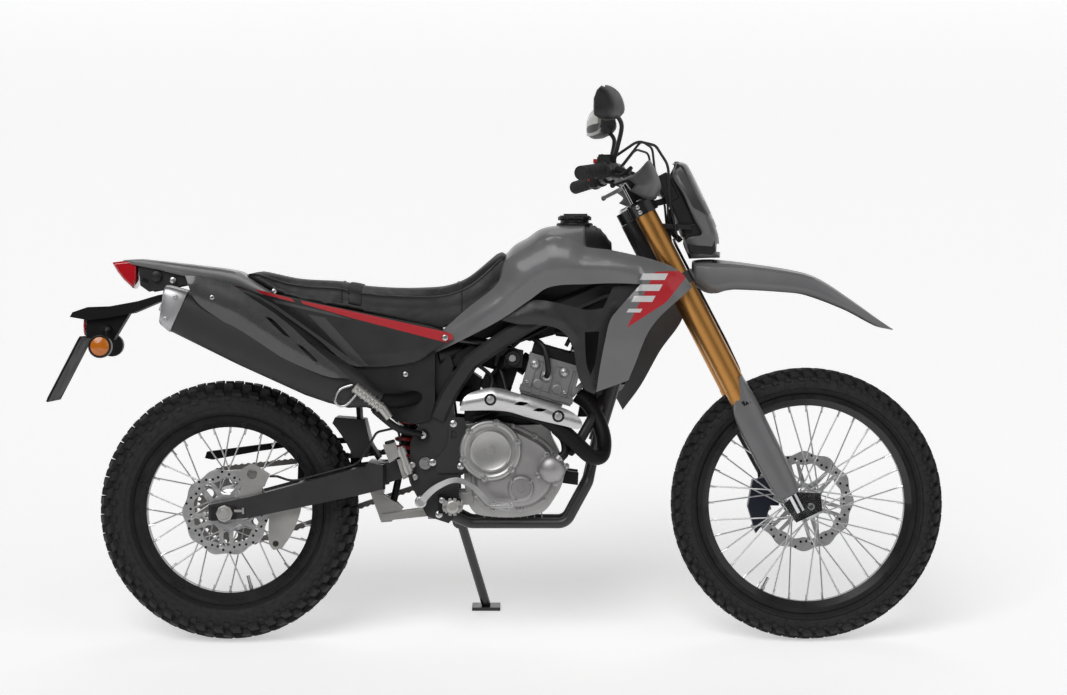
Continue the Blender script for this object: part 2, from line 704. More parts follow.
def tyre(name, node, body, axle, radius, half, bead_r, crown_r, shoulder, rim_half, knob, rows, count):
    """Carcass with ribs on its sidewalls and knobs out to the full radius."""
    deck = radius - knob
    shape = Shape()
    section = []
    turn = asin(shoulder / crown_r)
    for k in range(9):
        angle = turn - 2 * turn * k / 8
        section.append((deck - crown_r + crown_r * cos(angle), crown_r * sin(angle)))
    shoulder_r = section[-1][0]
    low_r = bead_r + 8
    wall = [(shoulder_r - 9, -half + 2.0), (shoulder_r - 20, -half), ((shoulder_r + low_r) / 2 - 4, -half + 1.5),
        (low_r + 16, -half + 8), (low_r + 12, -half + 8.6), (low_r + 9, -half + 12), (low_r, -rim_half + 3),
        (bead_r, -rim_half + 5)]
    section += wall + [(r, -w) for r, w in reversed(wall)]
    shape.turned(section, axle, sides=144)
    tread_blocks(shape, axle, deck, rows, count)
    for side in SIDES:
        for k, angle in enumerate(angles(72)):
            out, along = spoke(angle), Vector((-sin(angle), 0, cos(angle)))
            top, foot = shoulder_r - 8, shoulder_r - (19 if k % 2 else 26)
            shape.add([axle + out * r + along * a + beside(side * (half - w))
                       for r, w in ((top, -0.6), (foot, -1.4), (foot, 3), (top, 3)) for a in (-2.2, 2.2)],
                      [(0, 1, 3, 2), (2, 3, 5, 4), (0, 2, 4, 6), (1, 7, 5, 3), (6, 7, 1, 0)])
    shape.make(name, tyre_rubber, [node], body, crease=30.0)


def tyres():
    """Tread rows: side, radius drop, tilt, length round, width, height and phase of their knobs."""
    tyre("front_tyre_tread", "front_tyre", "front_wheel", AXLE_F, FRONT_TYRE_R, 41.0, FRONT_BEAD_R, 50.0, 35.0, 22.0,
        10.0, ((0, 0, 0, 20, 25, 8.6, 0.0), (17, 3, 19, 17, 13, 9.5, 0.5), (-17, 3, -19, 17, 13, 9.5, 0.5),
        (31.5, 10.5, 40, 22, 13, 9, 0.0), (-31.5, 10.5, -40, 22, 13, 9, 0.0), (36.5, 20, 62, 14, 9, 5, 0.5),
        (-36.5, 20, -62, 14, 9, 5, 0.5)), 60)
    tyre("rear_tyre_tread", "rear_tyre", "rear_wheel", AXLE_R, REAR_TYRE_R, 60.0, REAR_BEAD_R, 80.0, 52.0, 30.0, 14.0,
        ((0, 0, 0, 20, 40, 11.7, 0.5), (15, 1.5, 10, 17, 22, 13, 0.0), (-15, 1.5, -10, 17, 22, 13, 0.0),
        (35, 8, 26, 22, 19, 13, 0.5), (-35, 8, -26, 22, 19, 13, 0.5), (51, 19, 47, 22, 15, 11, 0.0),
        (-51, 19, -47, 22, 15, 11, 0.0), (57, 31, 70, 14, 9, 5, 0.5), (-57, 31, -70, 14, 9, 5, 0.5)), 42)


def waved_disc(name, node, body, axle, plane_y, radius, waves, arms, hub_r, bore_r):
    """Drilled brake disc with a waved rim, on a thin spider."""
    shape = Shape()
    inner, steps = radius * 0.74, waves * 16

    def ring(distance, plane):
        return [axle + Vector((cos(a) * d, plane, sin(a) * d)) for a, d in distance]

    turns = angles(steps)
    outer = [(a, radius * (0.972 + 0.028 * cos(waves * a))) for a in turns]
    outer_low = [(a, d - 1.2) for a, d in outer]
    within = [(a, inner + 3.0 * cos(waves * a + pi)) for a in turns]
    shape.rows([ring(within, plane_y - 2), ring(outer_low, plane_y - 2), ring(outer, plane_y - 1.2),
        ring(outer, plane_y + 1.2), ring(outer_low, plane_y + 2), ring(within, plane_y + 2),
        ring(within, plane_y - 2)], True)
    for k, angle in enumerate(angles(arms * 2)):
        start = spoke(angle) * (hub_r - 6)
        end = spoke(angle + (0.16 if k % 2 else -0.16)) * (inner + 5)
        side = (end - start).cross(beside(1)).normalized()
        wide_a, wide_b = 6.5, 4.0
        flat = [start - side * wide_a, start + side * wide_a, end + side * wide_b, end - side * wide_b]
        shape.rows([[axle + q + beside(plane_y + t) for q in flat] for t in (-1.9, 1.9)], True, True)
        if k % 2:
            for facing in SIDES:
                shape.knob(axle + end + beside(plane_y + facing * 2), (0, facing, 0), 5.5, 1.6)
    shape.turned(((hub_r, -2), (hub_r, 2), (bore_r, 2), (bore_r, -2)), axle + beside(plane_y), sides=48)
    holes = Shape()
    for wave in range(waves):
        for share, shift in ((0.8, 0.12), (0.86, 0.38), (0.92, 0.66), (0.81, 0.86)):
            spot = axle + spoke(2 * pi * (wave + shift) / waves) * (radius * share)
            for side in SIDES:
                holes.lathe(((3.3, 0), (3.3, 0.25), (2.5, 0.25)), spot + beside(plane_y + side * 1.95), (0, side, 0),
                    14)
    shape.make(name, disc_steel, [node], body, crease=30.0)
    holes.make(name + "_holes", black_metal, body=body, crease=30.0)


def discs():
    """Front disc on the left of its wheel, rear disc on the right."""
    waved_disc("front_disc_waved", "front_disc", "front_wheel", AXLE_F, 58.0, 128.0, 12, 6, 46.0, 30.0)
    waved_disc("rear_disc_waved", "rear_disc", "rear_wheel", AXLE_R, -82.0, 110.0, 10, 5, 44.0, 30.0)


def nipples():
    """Spoke nipples and tyre valves."""
    for name, body, axle, bead, count, valve_at in (("front_nipples", "front_wheel", AXLE_F, FRONT_BEAD_R, 36, 243),
            ("rear_nipples", "rear_wheel", AXLE_R, REAR_BEAD_R, 32, 285)):
        shape = Shape()
        for k, angle in enumerate(angles(count)):
            out = spoke(angle)
            foot = axle + out * (bead - 36) + beside(-8.0 if k % 2 else 8.0)
            shape.lathe(((2.6, 0), (2.6, 9), (3.6, 14), (3.6, 16)), foot, out, 8)
        out = spoke(radians(valve_at))
        shape.lathe(((4.2, -34), (4.2, -10), (5.5, -8), (5.5, 0), (3.0, 2)), axle + out * (bead - 22), out, 12)
        shape.make(name, bright_steel, body=body, crease=30.0)


# ---------------------------------------------------------------- bodywork

PLAN = table(((-260, 119), (-160, 124), (-60, 136), (60, 147), (180, 159), (300, 170), (400, 172), (445, 163)))
PANEL_TOP = ((-247, 705), (-222, 749), (-193, 776), (-118, 841), (-62, 884), (-42, 912), (-32, 950), (-19, 962),
    (30, 989), (68, 1008), (92, 1013), (142, 1003), (167, 988), (233, 979), (352, 950), (402, 925), (432, 888))
PANEL_LOW = ((303, 895), (240, 897), (179, 895), (80, 888), (30, 856), (-44, 806), (-143, 754))
WING_RIGHT = ((333, 794), (285, 687), (273, 657), (194, 628), (205, 700), (216, 757), (228, 806), (246, 831))
WING_LEFT = ((425, 809), (368, 726), (316, 635), (269, 572), (236, 640), (216, 757), (228, 806), (246, 831))
TOP_LINE = [Vector(spot) for spot in PANEL_TOP[1:]]
LOW_LINE = [Vector(spot) for spot in ((-247, 705),) + PANEL_LOW[::-1]]


def panel_at(side):
    """Place of the side panels' outer face, drawn in along their top and bottom edges."""
    def place(x, z):
        spot = Vector((x, z))
        y = PLAN(x) - 26 * max(0.0, 1 - away(spot, TOP_LINE) / 62) ** 2
        if x < 303:
            y -= 12 * max(0.0, 1 - away(spot, LOW_LINE) / 40)
        y -= 22 * (max(0.0, 895 - z) / 270) ** 1.6 if x > 150 else 0
        return Vector((x, side * y, z))
    return place


def panels():
    """Panels beside the tank, each with a wing that comes down ahead of the engine."""
    shape = Shape()
    for side, wing in ((-1, WING_RIGHT), (1, WING_LEFT)):
        shape.panel([PANEL_TOP + wing + PANEL_LOW], panel_at(side), -side * 3.2, 9.0)
    shape.make("tank_side_panels", graphic_grey, ["shrouds"], soft=1.2, crease=32.0)


def tank():
    """Centre of the tank, its black front fairing and the filler."""
    top = table(((-48, 930), (-38, 962), (-25, 977), (-8, 995), (23, 1012), (55, 1034), (93, 1043), (182, 1047),
        (207, 1037), (222, 1020), (237, 1000)))
    crest = table(((-48, 890), (-40, 915), (-30, 948), (-19, 960), (30, 987), (68, 1006), (92, 1011), (142, 1001),
        (167, 985), (237, 972)))

    def over(x):
        row = []
        for y in spaced(-116, 232, 24):
            share = abs(y) / 112
            z = top(x) - (top(x) - crest(x) + 6) * min(1.0, share) ** 2.6
            z -= 46 if share > 1.0 else 0
            row.append(Vector((x, y * (0.93 if share > 1.0 else 1.0), z)))
        return row

    shape = Shape()
    shape.rows([over(x) for x in spaced(-48, 215, 26)])
    nose = [over(x) for x in spaced(167, 68, 10)]
    for k, row in enumerate(nose):
        for point in row:
            point.z += 1.4 * cos(k * pi) - 1.5
            point.y *= 1 - 0.02 * k
    nose.append([Vector((214, point.y * 0.9, 985 - abs(point.y) * 0.15)) for point in nose[-1]])
    nose.append([Vector((192, point.y, 930)) for point in nose[-1]])
    shape.rows(nose, mark=1)
    shape.make("tank_cover", (panel_grey, black_plastic), ["fuel_tank"], crease=40.0, solid=3.0)
    cap = Shape()
    centre = Vector((143, 0, 1045))
    cap.lathe(((46, -2), (46, 3), (43, 5), (36, 5.5), (36, 12), (40, 14), (41, 20), (37, 24), (0.1, 25)), centre, UP,
        48)
    for angle in angles(12):
        cap.knob(centre + Vector((cos(angle) * 38, sin(angle) * 38, 12)), UP, 4.2, 9)
    cap.block(centre + Vector((2, 0, 26)), (60, 12, 5))
    cap.make("filler_cap", black_plastic, ["fuel_cap"], soft=0.8, crease=30.0)


def guards_for_frame():
    """Plastic guards on the frame's spars, each with a window and two bolts."""
    shape = Shape()
    outline = ((-44, 806), (30, 853), (68, 854), (130, 841), (176, 831), (212, 836), (236, 889), (303, 894),
        (246, 831), (228, 806), (216, 757), (194, 628), (190, 622), (167, 632), (149, 670), (135, 744), (105, 781),
        (55, 794), (1, 796))
    window = ((166, 776), (202, 778), (192, 700), (180, 668), (170, 700))
    rim = [Vector(q) for q in outline[8:] + outline[:3]]
    for side in SIDES:
        def place(x, z, side=side):
            edge = away(Vector((x, z)), rim)
            return Vector((x, side * (122 + 6 * min(1.0, edge / 22) + max(0.0, x - 200) * 0.12), z))
        shape.panel([outline, window], place, -side * 3.0, 8.0)
        for x, y, z in ((192, 122, 652), (60, 126, 826)):
            shape.bolt((x, side * y, z), (0, side, 0), 6, 5)
    shape.make("frame_guard_shells", satin_charcoal, ["frame_guards"], soft=0.9, crease=30.0)


COVER_PLAN = table(((-960, 62), (-800, 80), (-700, 96), (-560, 116), (-430, 125), (-300, 124), (-190, 118)))
COVER_TOP = ((-748, 906), (-690, 893), (-625, 876), (-540, 858), (-440, 836), (-291, 806), (-215, 790), (-165, 772))
COVER_LOW = ((-160, 760), (-180, 748), (-214, 728), (-247, 705), (-300, 694), (-391, 690), (-428, 702), (-495, 757),
    (-564, 806), (-633, 852), (-700, 880))


def covers():
    """Side covers under the seat."""
    shape = Shape()
    low_line = [Vector(spot) for spot in COVER_LOW[3:]]
    for side in SIDES:
        def place(x, z, side=side):
            edge = away(Vector((x, z)), low_line)
            y = COVER_PLAN(x) - 9 * max(0.0, 1 - edge / 26)
            y -= 0.12 * max(0.0, z - 800 - (-x - 300) * 0.2)
            return Vector((x, side * y, z))
        shape.panel([COVER_TOP + COVER_LOW], place, -side * 3.0, 9.0)
    shape.make("side_cover_panels", cover_finish, ["side_covers"], soft=1.0, crease=30.0)
    pins = Shape()
    for side in SIDES:
        pins.knob((-180, side * (PLAN(-180) - 4), 762), (0, side, 0), 8, 8)
        pins.knob((-279, side * 109, 671), (0, side, 0), 7, 6)
    pins.make("cover_bolts", bright_steel, soft=0.4)


def tail():
    """Grey tail over the rear wheel, and its black underside."""
    high = table(((-1000, 956), (-950, 959), (-921, 957), (-796, 943), (-701, 929), (-671, 912), (-621, 882),
        (-575, 858)))
    low = table(((-1000, 952), (-955, 942), (-896, 930), (-833, 915), (-760, 903), (-700, 890), (-646, 872),
        (-575, 850)))
    half = table(((-1000, 34), (-970, 48), (-900, 60), (-800, 78), (-700, 94), (-600, 106)))
    section = both_halves(((-1.0, 0.0), (-1.0, 0.45), (-0.97, 0.72), (-0.88, 0.9), (-0.66, 0.97), (-0.33, 1.0),
        (0, 1.0)))
    shape = Shape()
    shape.rows([arch(x, half(x), high(x), low(x), section) for x in spaced(-992, 414, 35)])
    shape.make("tail_cover", panel_grey, ["tail_fender"], crease=32.0, solid=3.0)
    under = Shape()
    for side in SIDES:
        under.panel([((-952, 942), (-900, 931), (-833, 915), (-800, 908), (-806, 886), (-830, 893), (-880, 884),
            (-925, 876), (-948, 892))], lambda x, z, side=side: Vector((x, side * (half(x) - 8), z)), -side * 3, 12.0)
        under.bolt((-862, side * (half(-862) - 8), 905), (0, side, 0), 6, 5)
    under.make("tail_underside", black_plastic, soft=0.8)


def tail_lamp():
    """Red lamp at the tail's end, rounded off towards both sides."""
    lamp = Shape()
    outline = ((-1021, 951), (-990, 955), (-957, 956), (-957, 906), (-966, 883), (-991, 906), (-1008, 928))
    rings = []
    for share, shrink in ((-1, 0.82), (-0.86, 0.96), (-0.4, 1.0), (0.4, 1.0), (0.86, 0.96), (1, 0.82)):
        rings.append([Vector((-972 + (x + 972) * shrink, share * 47, 925 + (z - 925) * shrink)) for x, z in outline])
    lamp.rows(rings, True, True)
    lamp.make("tail_lamp_lens", red_lens, ["tail_lamp"], soft=2.0, crease=30.0)


def silencer():
    """Can, and the bright end cap with its outlet."""
    front, rear = Vector((-345, -146, 606)), Vector((-868, -150, 844))
    line = (rear - front).normalized()
    up = line.cross(beside(1)).normalized()
    up = up if up.z > 0 else -up

    def ring(along, wide, tall, shear=0.0, power=0.72):
        points = []
        for angle in angles(28):
            a = copysign(abs(cos(angle)) ** power, cos(angle))
            b = copysign(abs(sin(angle)) ** power, sin(angle))
            points.append(front + line * (along + shear * b) + beside(wide * a) + up * tall * b)
        return points

    can, cap = Shape(), Shape()
    can.rows([ring(a, w, t) for a, w, t in ((-6, 23, 23), (20, 26, 26), (60, 38, 46), (110, 44, 55), (170, 46, 61),
        (350, 46, 61), (536, 44, 55))], True, True)
    cap.rows([ring(a, w, t, s, 0.5) for a, w, t, s in ((534, 45, 56, 0), (538, 46, 57, 0), (572, 41, 50, 8),
        (580, 38, 46, 11), (582, 30, 38, 12), (579, 24, 28, 12))], True, True)
    can.make("silencer_can", dark_plastic, ["silencer"], crease=40.0)
    spot = front + line * 574 + beside(6) - up * 4
    cap.turned(((17, 0), (17, 12), (14, 12), (14, 0)), spot, line, 28)
    for high in (-30, 30):
        cap.bolt(front + line * 556 + beside(-44) + up * high, (0, -1, 0.1), 5, 4)
    cap.make("silencer_cap", end_cap_metal, crease=34.0, soft=0.8)
    hole = Shape().knob(spot + line * 8, line, 13.9, 1)
    hole.make("silencer_outlet", black_metal)


def silencer_shield():
    """Slotted shield over the can, and its bolt."""
    shell = Shape()
    outline = ((-815, 916), (-755, 911), (-700, 892), (-657, 863), (-608, 831), (-559, 794), (-510, 749), (-461, 708),
        (-410, 664), (-461, 667), (-534, 694), (-608, 731), (-682, 779), (-743, 817), (-790, 856))
    slots = (((-618, 815), (-602, 810), (-556, 764), (-572, 770)), ((-541, 748), (-526, 742), (-487, 704), (-500, 706)))
    mid = [Vector(q) for q in ((-800, 880), (-680, 830), (-560, 750), (-420, 668))]

    def place(x, z):
        off = away(Vector((x, z)), mid)
        return Vector((x, -(203 - 0.0032 * off * off * 1.6 - 0.03 * off), z))

    shell.panel([outline, *slots], place, 3.0, 8.0)
    shell.make("silencer_shield", gloss_charcoal, soft=1.0, crease=30.0)
    trim = Shape()
    trim.bolt((-748, -199, 862), RIGHT, 6, 5)
    trim.make("silencer_shield_bolt", bright_steel)


def front_fender():
    """Crowned blade with a spine, folded edges and short skirts by the fork."""
    high = table(((440, 955), (460, 958), (498, 958), (586, 948), (712, 927), (763, 907), (839, 857), (889, 821),
        (943, 783)))
    low = table(((440, 900), (470, 878), (495, 872), (520, 879), (556, 882), (681, 875), (731, 868), (831, 830),
        (907, 790), (943, 781)))
    half = table(((440, 44), (480, 56), (560, 63), (700, 64), (820, 58), (900, 46), (943, 30)))
    rows = []
    for x in spaced(441, 502, 59):
        spine = 0.985 if 470 < x < 930 else 1.0
        rows.append(arch(x, half(x), high(x), low(x), both_halves(((-1.0, 0.0), (-1.0, 0.3), (-0.985, 0.55),
            (-0.93, 0.76), (-0.8, 0.88), (-0.56, 0.94), (-0.4, 0.985), (-0.18, spine), (0, 1.0)))))
    shape = Shape()
    shape.rows(rows)
    shape.make("front_fender_blade", panel_grey, ["front_fender"], "steering", crease=24.0, solid=3.0)
    legs = Shape()
    for side in SIDES:
        legs.block(STEER_FOOT + Vector((-208, side * 30, 606)), (70, 16, 30), Matrix.Rotation(radians(-32), 3, "Y"))
        legs.bolt(STEER_FOOT + Vector((-178, side * 38, 636)), (0.1, 0, 1), 6, 6)
    legs.make("fender_mounts", black_plastic, body="steering", soft=1.0)


def fork_shells():
    """Guards in front of the fork's lower legs."""
    rear = table(((45, 2), (60, -2), (100, -6), (200, -8), (257, -7), (300, 2), (330, 22), (369, 52)))
    front = table(((45, 52), (56, 59), (117, 63), (224, 65), (307, 66), (369, 62)))
    shape = Shape()
    for side in SIDES:
        rows = []
        for s in spaced(47, 322, 33):
            f, r = front(s), rear(s)
            deep = min(1.0, (f - r) / 60)
            rows.append([steer(a, side * b, s) for a, b in ((f - 12 * deep, 78), (f - 1, 86), (f, 98),
                (f - 3 * deep, 112), (f - 12 * deep, 123), (f * 0.65 + r * 0.35, 128), ((f + r) / 2, 129.5),
                (f * 0.3 + r * 0.7, 128.5), (r + 4 * deep, 124), (r, 117), (r - 1, 108))])
        shape.rows(rows)
    shape.make("fork_guard_shells", panel_grey, ["fork_guards"], "steering", crease=30.0, solid=2.6)


# ---------------------------------------------------------------- seat

SEAT_TOP = table(((-684, 922), (-652, 927), (-551, 907), (-440, 900), (-399, 891), (-298, 884), (-197, 887),
    (-159, 895), (-121, 912), (-71, 952), (-38, 979), (-25, 976)))
SEAT_LOW = table(((-684, 915), (-645, 897), (-603, 874), (-541, 852), (-417, 831), (-317, 807), (-201, 782),
    (-156, 796), (-94, 828), (-60, 860), (-25, 900)))
SEAT_HALF = table(((-684, 62), (-650, 84), (-560, 101), (-420, 110), (-300, 111), (-180, 104), (-90, 97), (-25, 86)))
SEAT_RING = both_halves(((-1.0, 0.02), (-1.0, 0.3), (-0.985, 0.52), (-0.95, 0.7), (-0.875, 0.84), (-0.74, 0.925),
    (-0.5, 0.975), (-0.25, 0.995), (0, 1.0)))


def seat_ring(x, slim=0.0):
    """Points over the seat at one place along it, from its right lower edge to its left one."""
    return arch(x, SEAT_HALF(x) - slim, SEAT_TOP(x) - slim, SEAT_LOW(x), SEAT_RING)


SEAT_VOXEL_M = 0.0065
PUFF_MOST_M = 0.006
PUFF_PRESSURE = 4.0
PUFF_FRAMES = 20


def settled(piece):
    """The piece as its modifiers leave it."""
    return piece.evaluated_get(bpy.context.evaluated_depsgraph_get())


def puff(cushion, most):
    """Fill the cushion with air as cloth, held at its underside, and keep what moved by no more than that."""
    start = [Vector(v.co) for v in cushion.data.vertices]
    held = cushion.vertex_groups.new(name="held")
    for k, spot in enumerate(start):
        here = UPRIGHT @ spot
        share = (here.z - SEAT_LOW(here.x)) / max(20.0, SEAT_TOP(here.x) - SEAT_LOW(here.x))
        held.add([k], 1.0 if share < 0.12 else 0.0, "REPLACE")
    cloth = cushion.modifiers.new("air", "CLOTH")
    cloth.settings.use_pressure = True
    cloth.settings.uniform_pressure_force = PUFF_PRESSURE
    cloth.settings.effector_weights.gravity = 0.0
    cloth.settings.vertex_group_mass = "held"
    cloth.settings.quality = 4
    cloth.point_cache.frame_end = PUFF_FRAMES
    scene = bpy.context.scene
    for step in range(1, PUFF_FRAMES + 1):
        scene.frame_set(step)
    moved = [Vector(v.co) for v in settled(cushion).data.vertices]
    for vertex, old, new in zip(cushion.data.vertices, start, moved):
        shift = new - old
        if shift.length > most:
            shift *= most / shift.length
        vertex.co = old + shift
    cushion.modifiers.remove(cloth)
    scene.frame_set(1)


def seat():
    """Padded cover with a strap across it, piping along its shoulders and a seam ahead of the passenger's part."""
    shape = Shape()
    rows = [seat_ring(x, 3.0) for x in spaced(-684, 659, 54)]
    for share in (0.55, 0.85):
        rows.insert(0, [rows[0][8].lerp(p, 0.92) + Vector((-3 * share, 0, -1)) for p in rows[0]])
    shape.rows(rows, True, True)
    cushion = shape.make("seat_cushion", vinyl, ["seat"], crease=80.0)
    skin = cushion.modifiers.new("skin", "REMESH")
    skin.mode = "VOXEL"
    skin.voxel_size = SEAT_VOXEL_M
    skin.use_smooth_shade = True
    mesh = bpy.data.meshes.new_from_object(settled(cushion))
    cushion.modifiers.remove(skin)
    old = cushion.data
    cushion.data = mesh
    bpy.data.meshes.remove(old)
    mesh.name = "seat_cushion"
    relax = cushion.modifiers.new("relax", "SMOOTH")
    relax.iterations = 4
    for vertex, other in zip(mesh.vertices, settled(cushion).data.vertices):
        vertex.co = other.co
    cushion.modifiers.remove(relax)
    puff(cushion, PUFF_MOST_M)
    finer = cushion.modifiers.new("finer", "SUBSURF")
    finer.levels = finer.render_levels = 1
    mesh.shade_smooth()
    tree = BVHTree.FromPolygons([UPRIGHT @ v.co for v in mesh.vertices], [tuple(p.vertices) for p in mesh.polygons])

    def on_skin(spot, proud):
        found, normal, _, _ = tree.find_nearest(spot)
        out = spot - Vector((spot.x, 0, SEAT_LOW(spot.x) + 20))
        return found + (normal if normal.dot(out) > 0 else -normal) * proud

    trim = Shape()
    for side in (4, 12):
        trim.tube([on_skin(seat_ring(x)[side], 0.6) for x in spaced(-676, 640, 80)], 2.4, 8)
    for x in (-438, -150):
        ring = seat_ring(x)
        path = [ring[j].lerp(ring[j + 1], t / 3) for j in range(1, 15) for t in range(3)]
        trim.tube([on_skin(p + Vector((0.1 * abs(p.y) * (1 if x > -200 else 0), 0, 0)), 0.4) for p in path], 1.8, 8)
    trim.make("seat_piping", black_plastic)
    strap = Shape()
    rows = []
    for x, proud in ((-421, 0.5), (-420, 3.2), (-412, 4.2), (-398, 4.2), (-390, 3.2), (-389, 0.5)):
        ring = seat_ring(x)
        rows.append([on_skin(ring[j].lerp(ring[min(j + 1, 16)], t / 3), proud) for j in range(1, 15) for t in range(3)])
    strap.rows(rows)
    strap.make("seat_strap", strap_web, crease=60.0, solid=2.0)


# ---------------------------------------------------------------- engine


def inset(outline, distance):
    """The same side outline pulled in by that distance."""
    points = [Vector((p[0], p[1])) for p in outline]
    turn = sum(a.x * b.y - b.x * a.y for a, b in zip(points, points[1:] + points[:1]))
    sign = 1 if turn > 0 else -1
    made = []
    for k, here in enumerate(points):
        first = (here - points[k - 1]).normalized()
        second = (points[(k + 1) % len(points)] - here).normalized()
        in_first, in_second = Vector((-first.y, first.x)) * sign, Vector((-second.y, second.x)) * sign
        middle = (in_first + in_second).normalized()
        made.append(here + middle * distance / max(0.5, middle.dot(in_first)))
    return made


def tiers(shape, outline, levels, mark=0):
    """Cast cover: a smoothed side outline carried through (y, inset) levels."""
    loop = rounded(outline, 50.0, 6.0)
    return shape.rows([[Vector((p.x, y, p.y)) for p in inset(loop, distance)] for y, distance in levels], True, True,
        mark)


def rim_bolts(shape, outline, depth, spacing, foot, tall, mark=0):
    """Bolts in bosses along the edge of a cover."""
    edge = inset(rounded(outline, 60.0, 3.0), depth)
    run, last = 0.0, edge[0]
    side = copysign(1, tall)
    for point in edge:
        run += (point - last).length
        last = point
        if run >= spacing:
            run = 0.0
            shape.lathe(((9.5, 0), (9.0, abs(tall) - 1), (7.6, abs(tall))), (point.x, foot, point.y), (0, side, 0), 20)
            shape.bolt((point.x, foot + tall, point.y), (0, side, 0), 4.6, 5, mark)


TILT = Matrix.Rotation(radians(16.0), 3, "Y")
CYLINDER_FOOT = Vector((40, 0, 540))
PUMP = Vector((84, -106, 436))


def on_cylinder(x, y, z):
    """Point on the leaning barrel: ahead of, beside and up along its own middle line."""
    return CYLINDER_FOOT + TILT @ Vector((x, y, z))


def engine_case():
    """Crankcase with its lugs, and the ribs under it."""
    case = Shape()
    outline = ((-134, 440), (-118, 540), (-50, 556), (-30, 545), (76, 545), (86, 512), (106, 470), (116, 420),
        (96, 368), (52, 322), (-94, 318), (-124, 350))
    tiers(case, outline, ((-80, 3), (-79, 0), (-6, 0), (-4, 3), (4, 3), (6, 0), (62, 0), (63, 3)))
    left = ((-92, 400), (-92, 502), (-60, 552), (-30, 545), (76, 545), (86, 512), (106, 470), (116, 420), (96, 368),
        (52, 322), (-94, 318), (-124, 350), (-124, 392))
    tiers(case, left, ((60, 2), (75, 2), (76, 5)))
    for z in (530, 360):
        for low_y in (-84, 50):
            case.slab(((-162, z - 14), (-112, z - 16), (-108, z + 16), (-158, z + 14)), low_y, low_y + 34)
    for low_y in (-61, 40):
        case.slab(((92, 400), (150, 392), (152, 424), (92, 432)), low_y, low_y + 21, 1)
    for k in range(9):
        case.slab(((-86 + k * 18, 300), (-83 + k * 18, 300), (-83 + k * 18, 322), (-86 + k * 18, 322)), -60, 60)
    case.make("engine_case", (case_metal, black_case), ["crankcase"], soft=2.4, crease=40.0)


def engine_covers():
    """Clutch, pump and starter covers on the right, the generator's and the drive's on the left."""
    cover = Shape()
    right = ((-118, 420), (-124, 470), (-104, 520), (-40, 550), (40, 522), (88, 484), (104, 430), (86, 372),
        (30, 332), (-84, 332), (-112, 370))
    tiers(cover, right, ((-80, 0), (-88, 0), (-90, 2), (-91, 9), (-104, 13), (-110, 17), (-112, 24)))
    rim_bolts(cover, right, 7.0, 62.0, -88, -6, 1)
    clutch = Vector((-68, -104, 482))
    cover.lathe(((77, 0), (77, 13), (74, 19), (69, 21), (63, 20), (59, 17), (54, 17), (52, 23), (48, 26), (44, 24),
        (12, 24), (11, 26), (0.1, 26)), clutch, RIGHT, 72, 2)
    for angle in angles(6, 0.3):
        spot = clutch + Vector((cos(angle) * 71, -14, sin(angle) * 71))
        cover.lathe(((9.5, 0), (9.5, 6), (8, 8)), spot, RIGHT, 20, 2)
        cover.bolt(spot + beside(-8), RIGHT, 4.8, 5, 1)
    cover.lathe(((33, 0), (33, 9), (30, 13), (25, 14), (24, 11), (9, 11), (8, 14), (0.1, 14)), (8, -110, 388), RIGHT,
        48)
    for k in (0.7, 2.4, 4.3):
        cover.bolt((8 + 29 * cos(k), -122, 388 + 29 * sin(k)), RIGHT, 4.4, 5, 1)
    cover.lathe(((35, 0), (35, 14), (31, 22), (22, 28), (12, 31), (0.1, 32)), PUMP, RIGHT, 48)
    cover.tube([PUMP + Vector((8, -12, 16)), PUMP + Vector((22, -10, 30))], 13, 20)
    cover.hose([PUMP + Vector((14, -12, 22)), PUMP + Vector((34, -10, 42)), PUMP + Vector((30, 0, 74)),
        PUMP + Vector((8, 20, 96))], 11, 18, 3)
    for k in (0.2, 1.9, 3.6, 5.0):
        spot = PUMP + Vector((37 * cos(k), -6, 37 * sin(k)))
        cover.lathe(((8, 0), (8, 9), (6.5, 10)), spot, RIGHT, 18)
        cover.bolt(spot + beside(-10), RIGHT, 4.2, 5, 1)
    stator = ((-90, 380), (-66, 470), (20, 508), (90, 470), (104, 420), (78, 350), (10, 326), (-72, 334))
    tiers(cover, stator, ((76, 0), (84, 0), (86, 2), (87, 8), (96, 12), (100, 20)))
    rim_bolts(cover, stator, 6.0, 66.0, 84, 5, 1)
    cover.lathe(((71, 0), (71, 14), (66, 20), (58, 22), (56, 19), (20, 19), (18, 22), (0.1, 22)), (18, 99, 415), LEFT,
        72)
    for angle in angles(5, 0.5):
        cover.bolt((18 + 64 * cos(angle), 117, 415 + 64 * sin(angle)), LEFT, 4.6, 5, 1)
    drive = ((-143, 425), (-143, 492), (-125, 502), (-98, 484), (-62, 466), (-74, 420), (-105, 405), (-125, 408))
    tiers(cover, drive, ((90, 3), (92, 0), (98, 1), (104, 8)), 3)
    cover.make("engine_side_covers", (cover_metal, bright_steel, clutch_metal, black_case), ["engine_covers"],
        soft=0.9, crease=34.0)


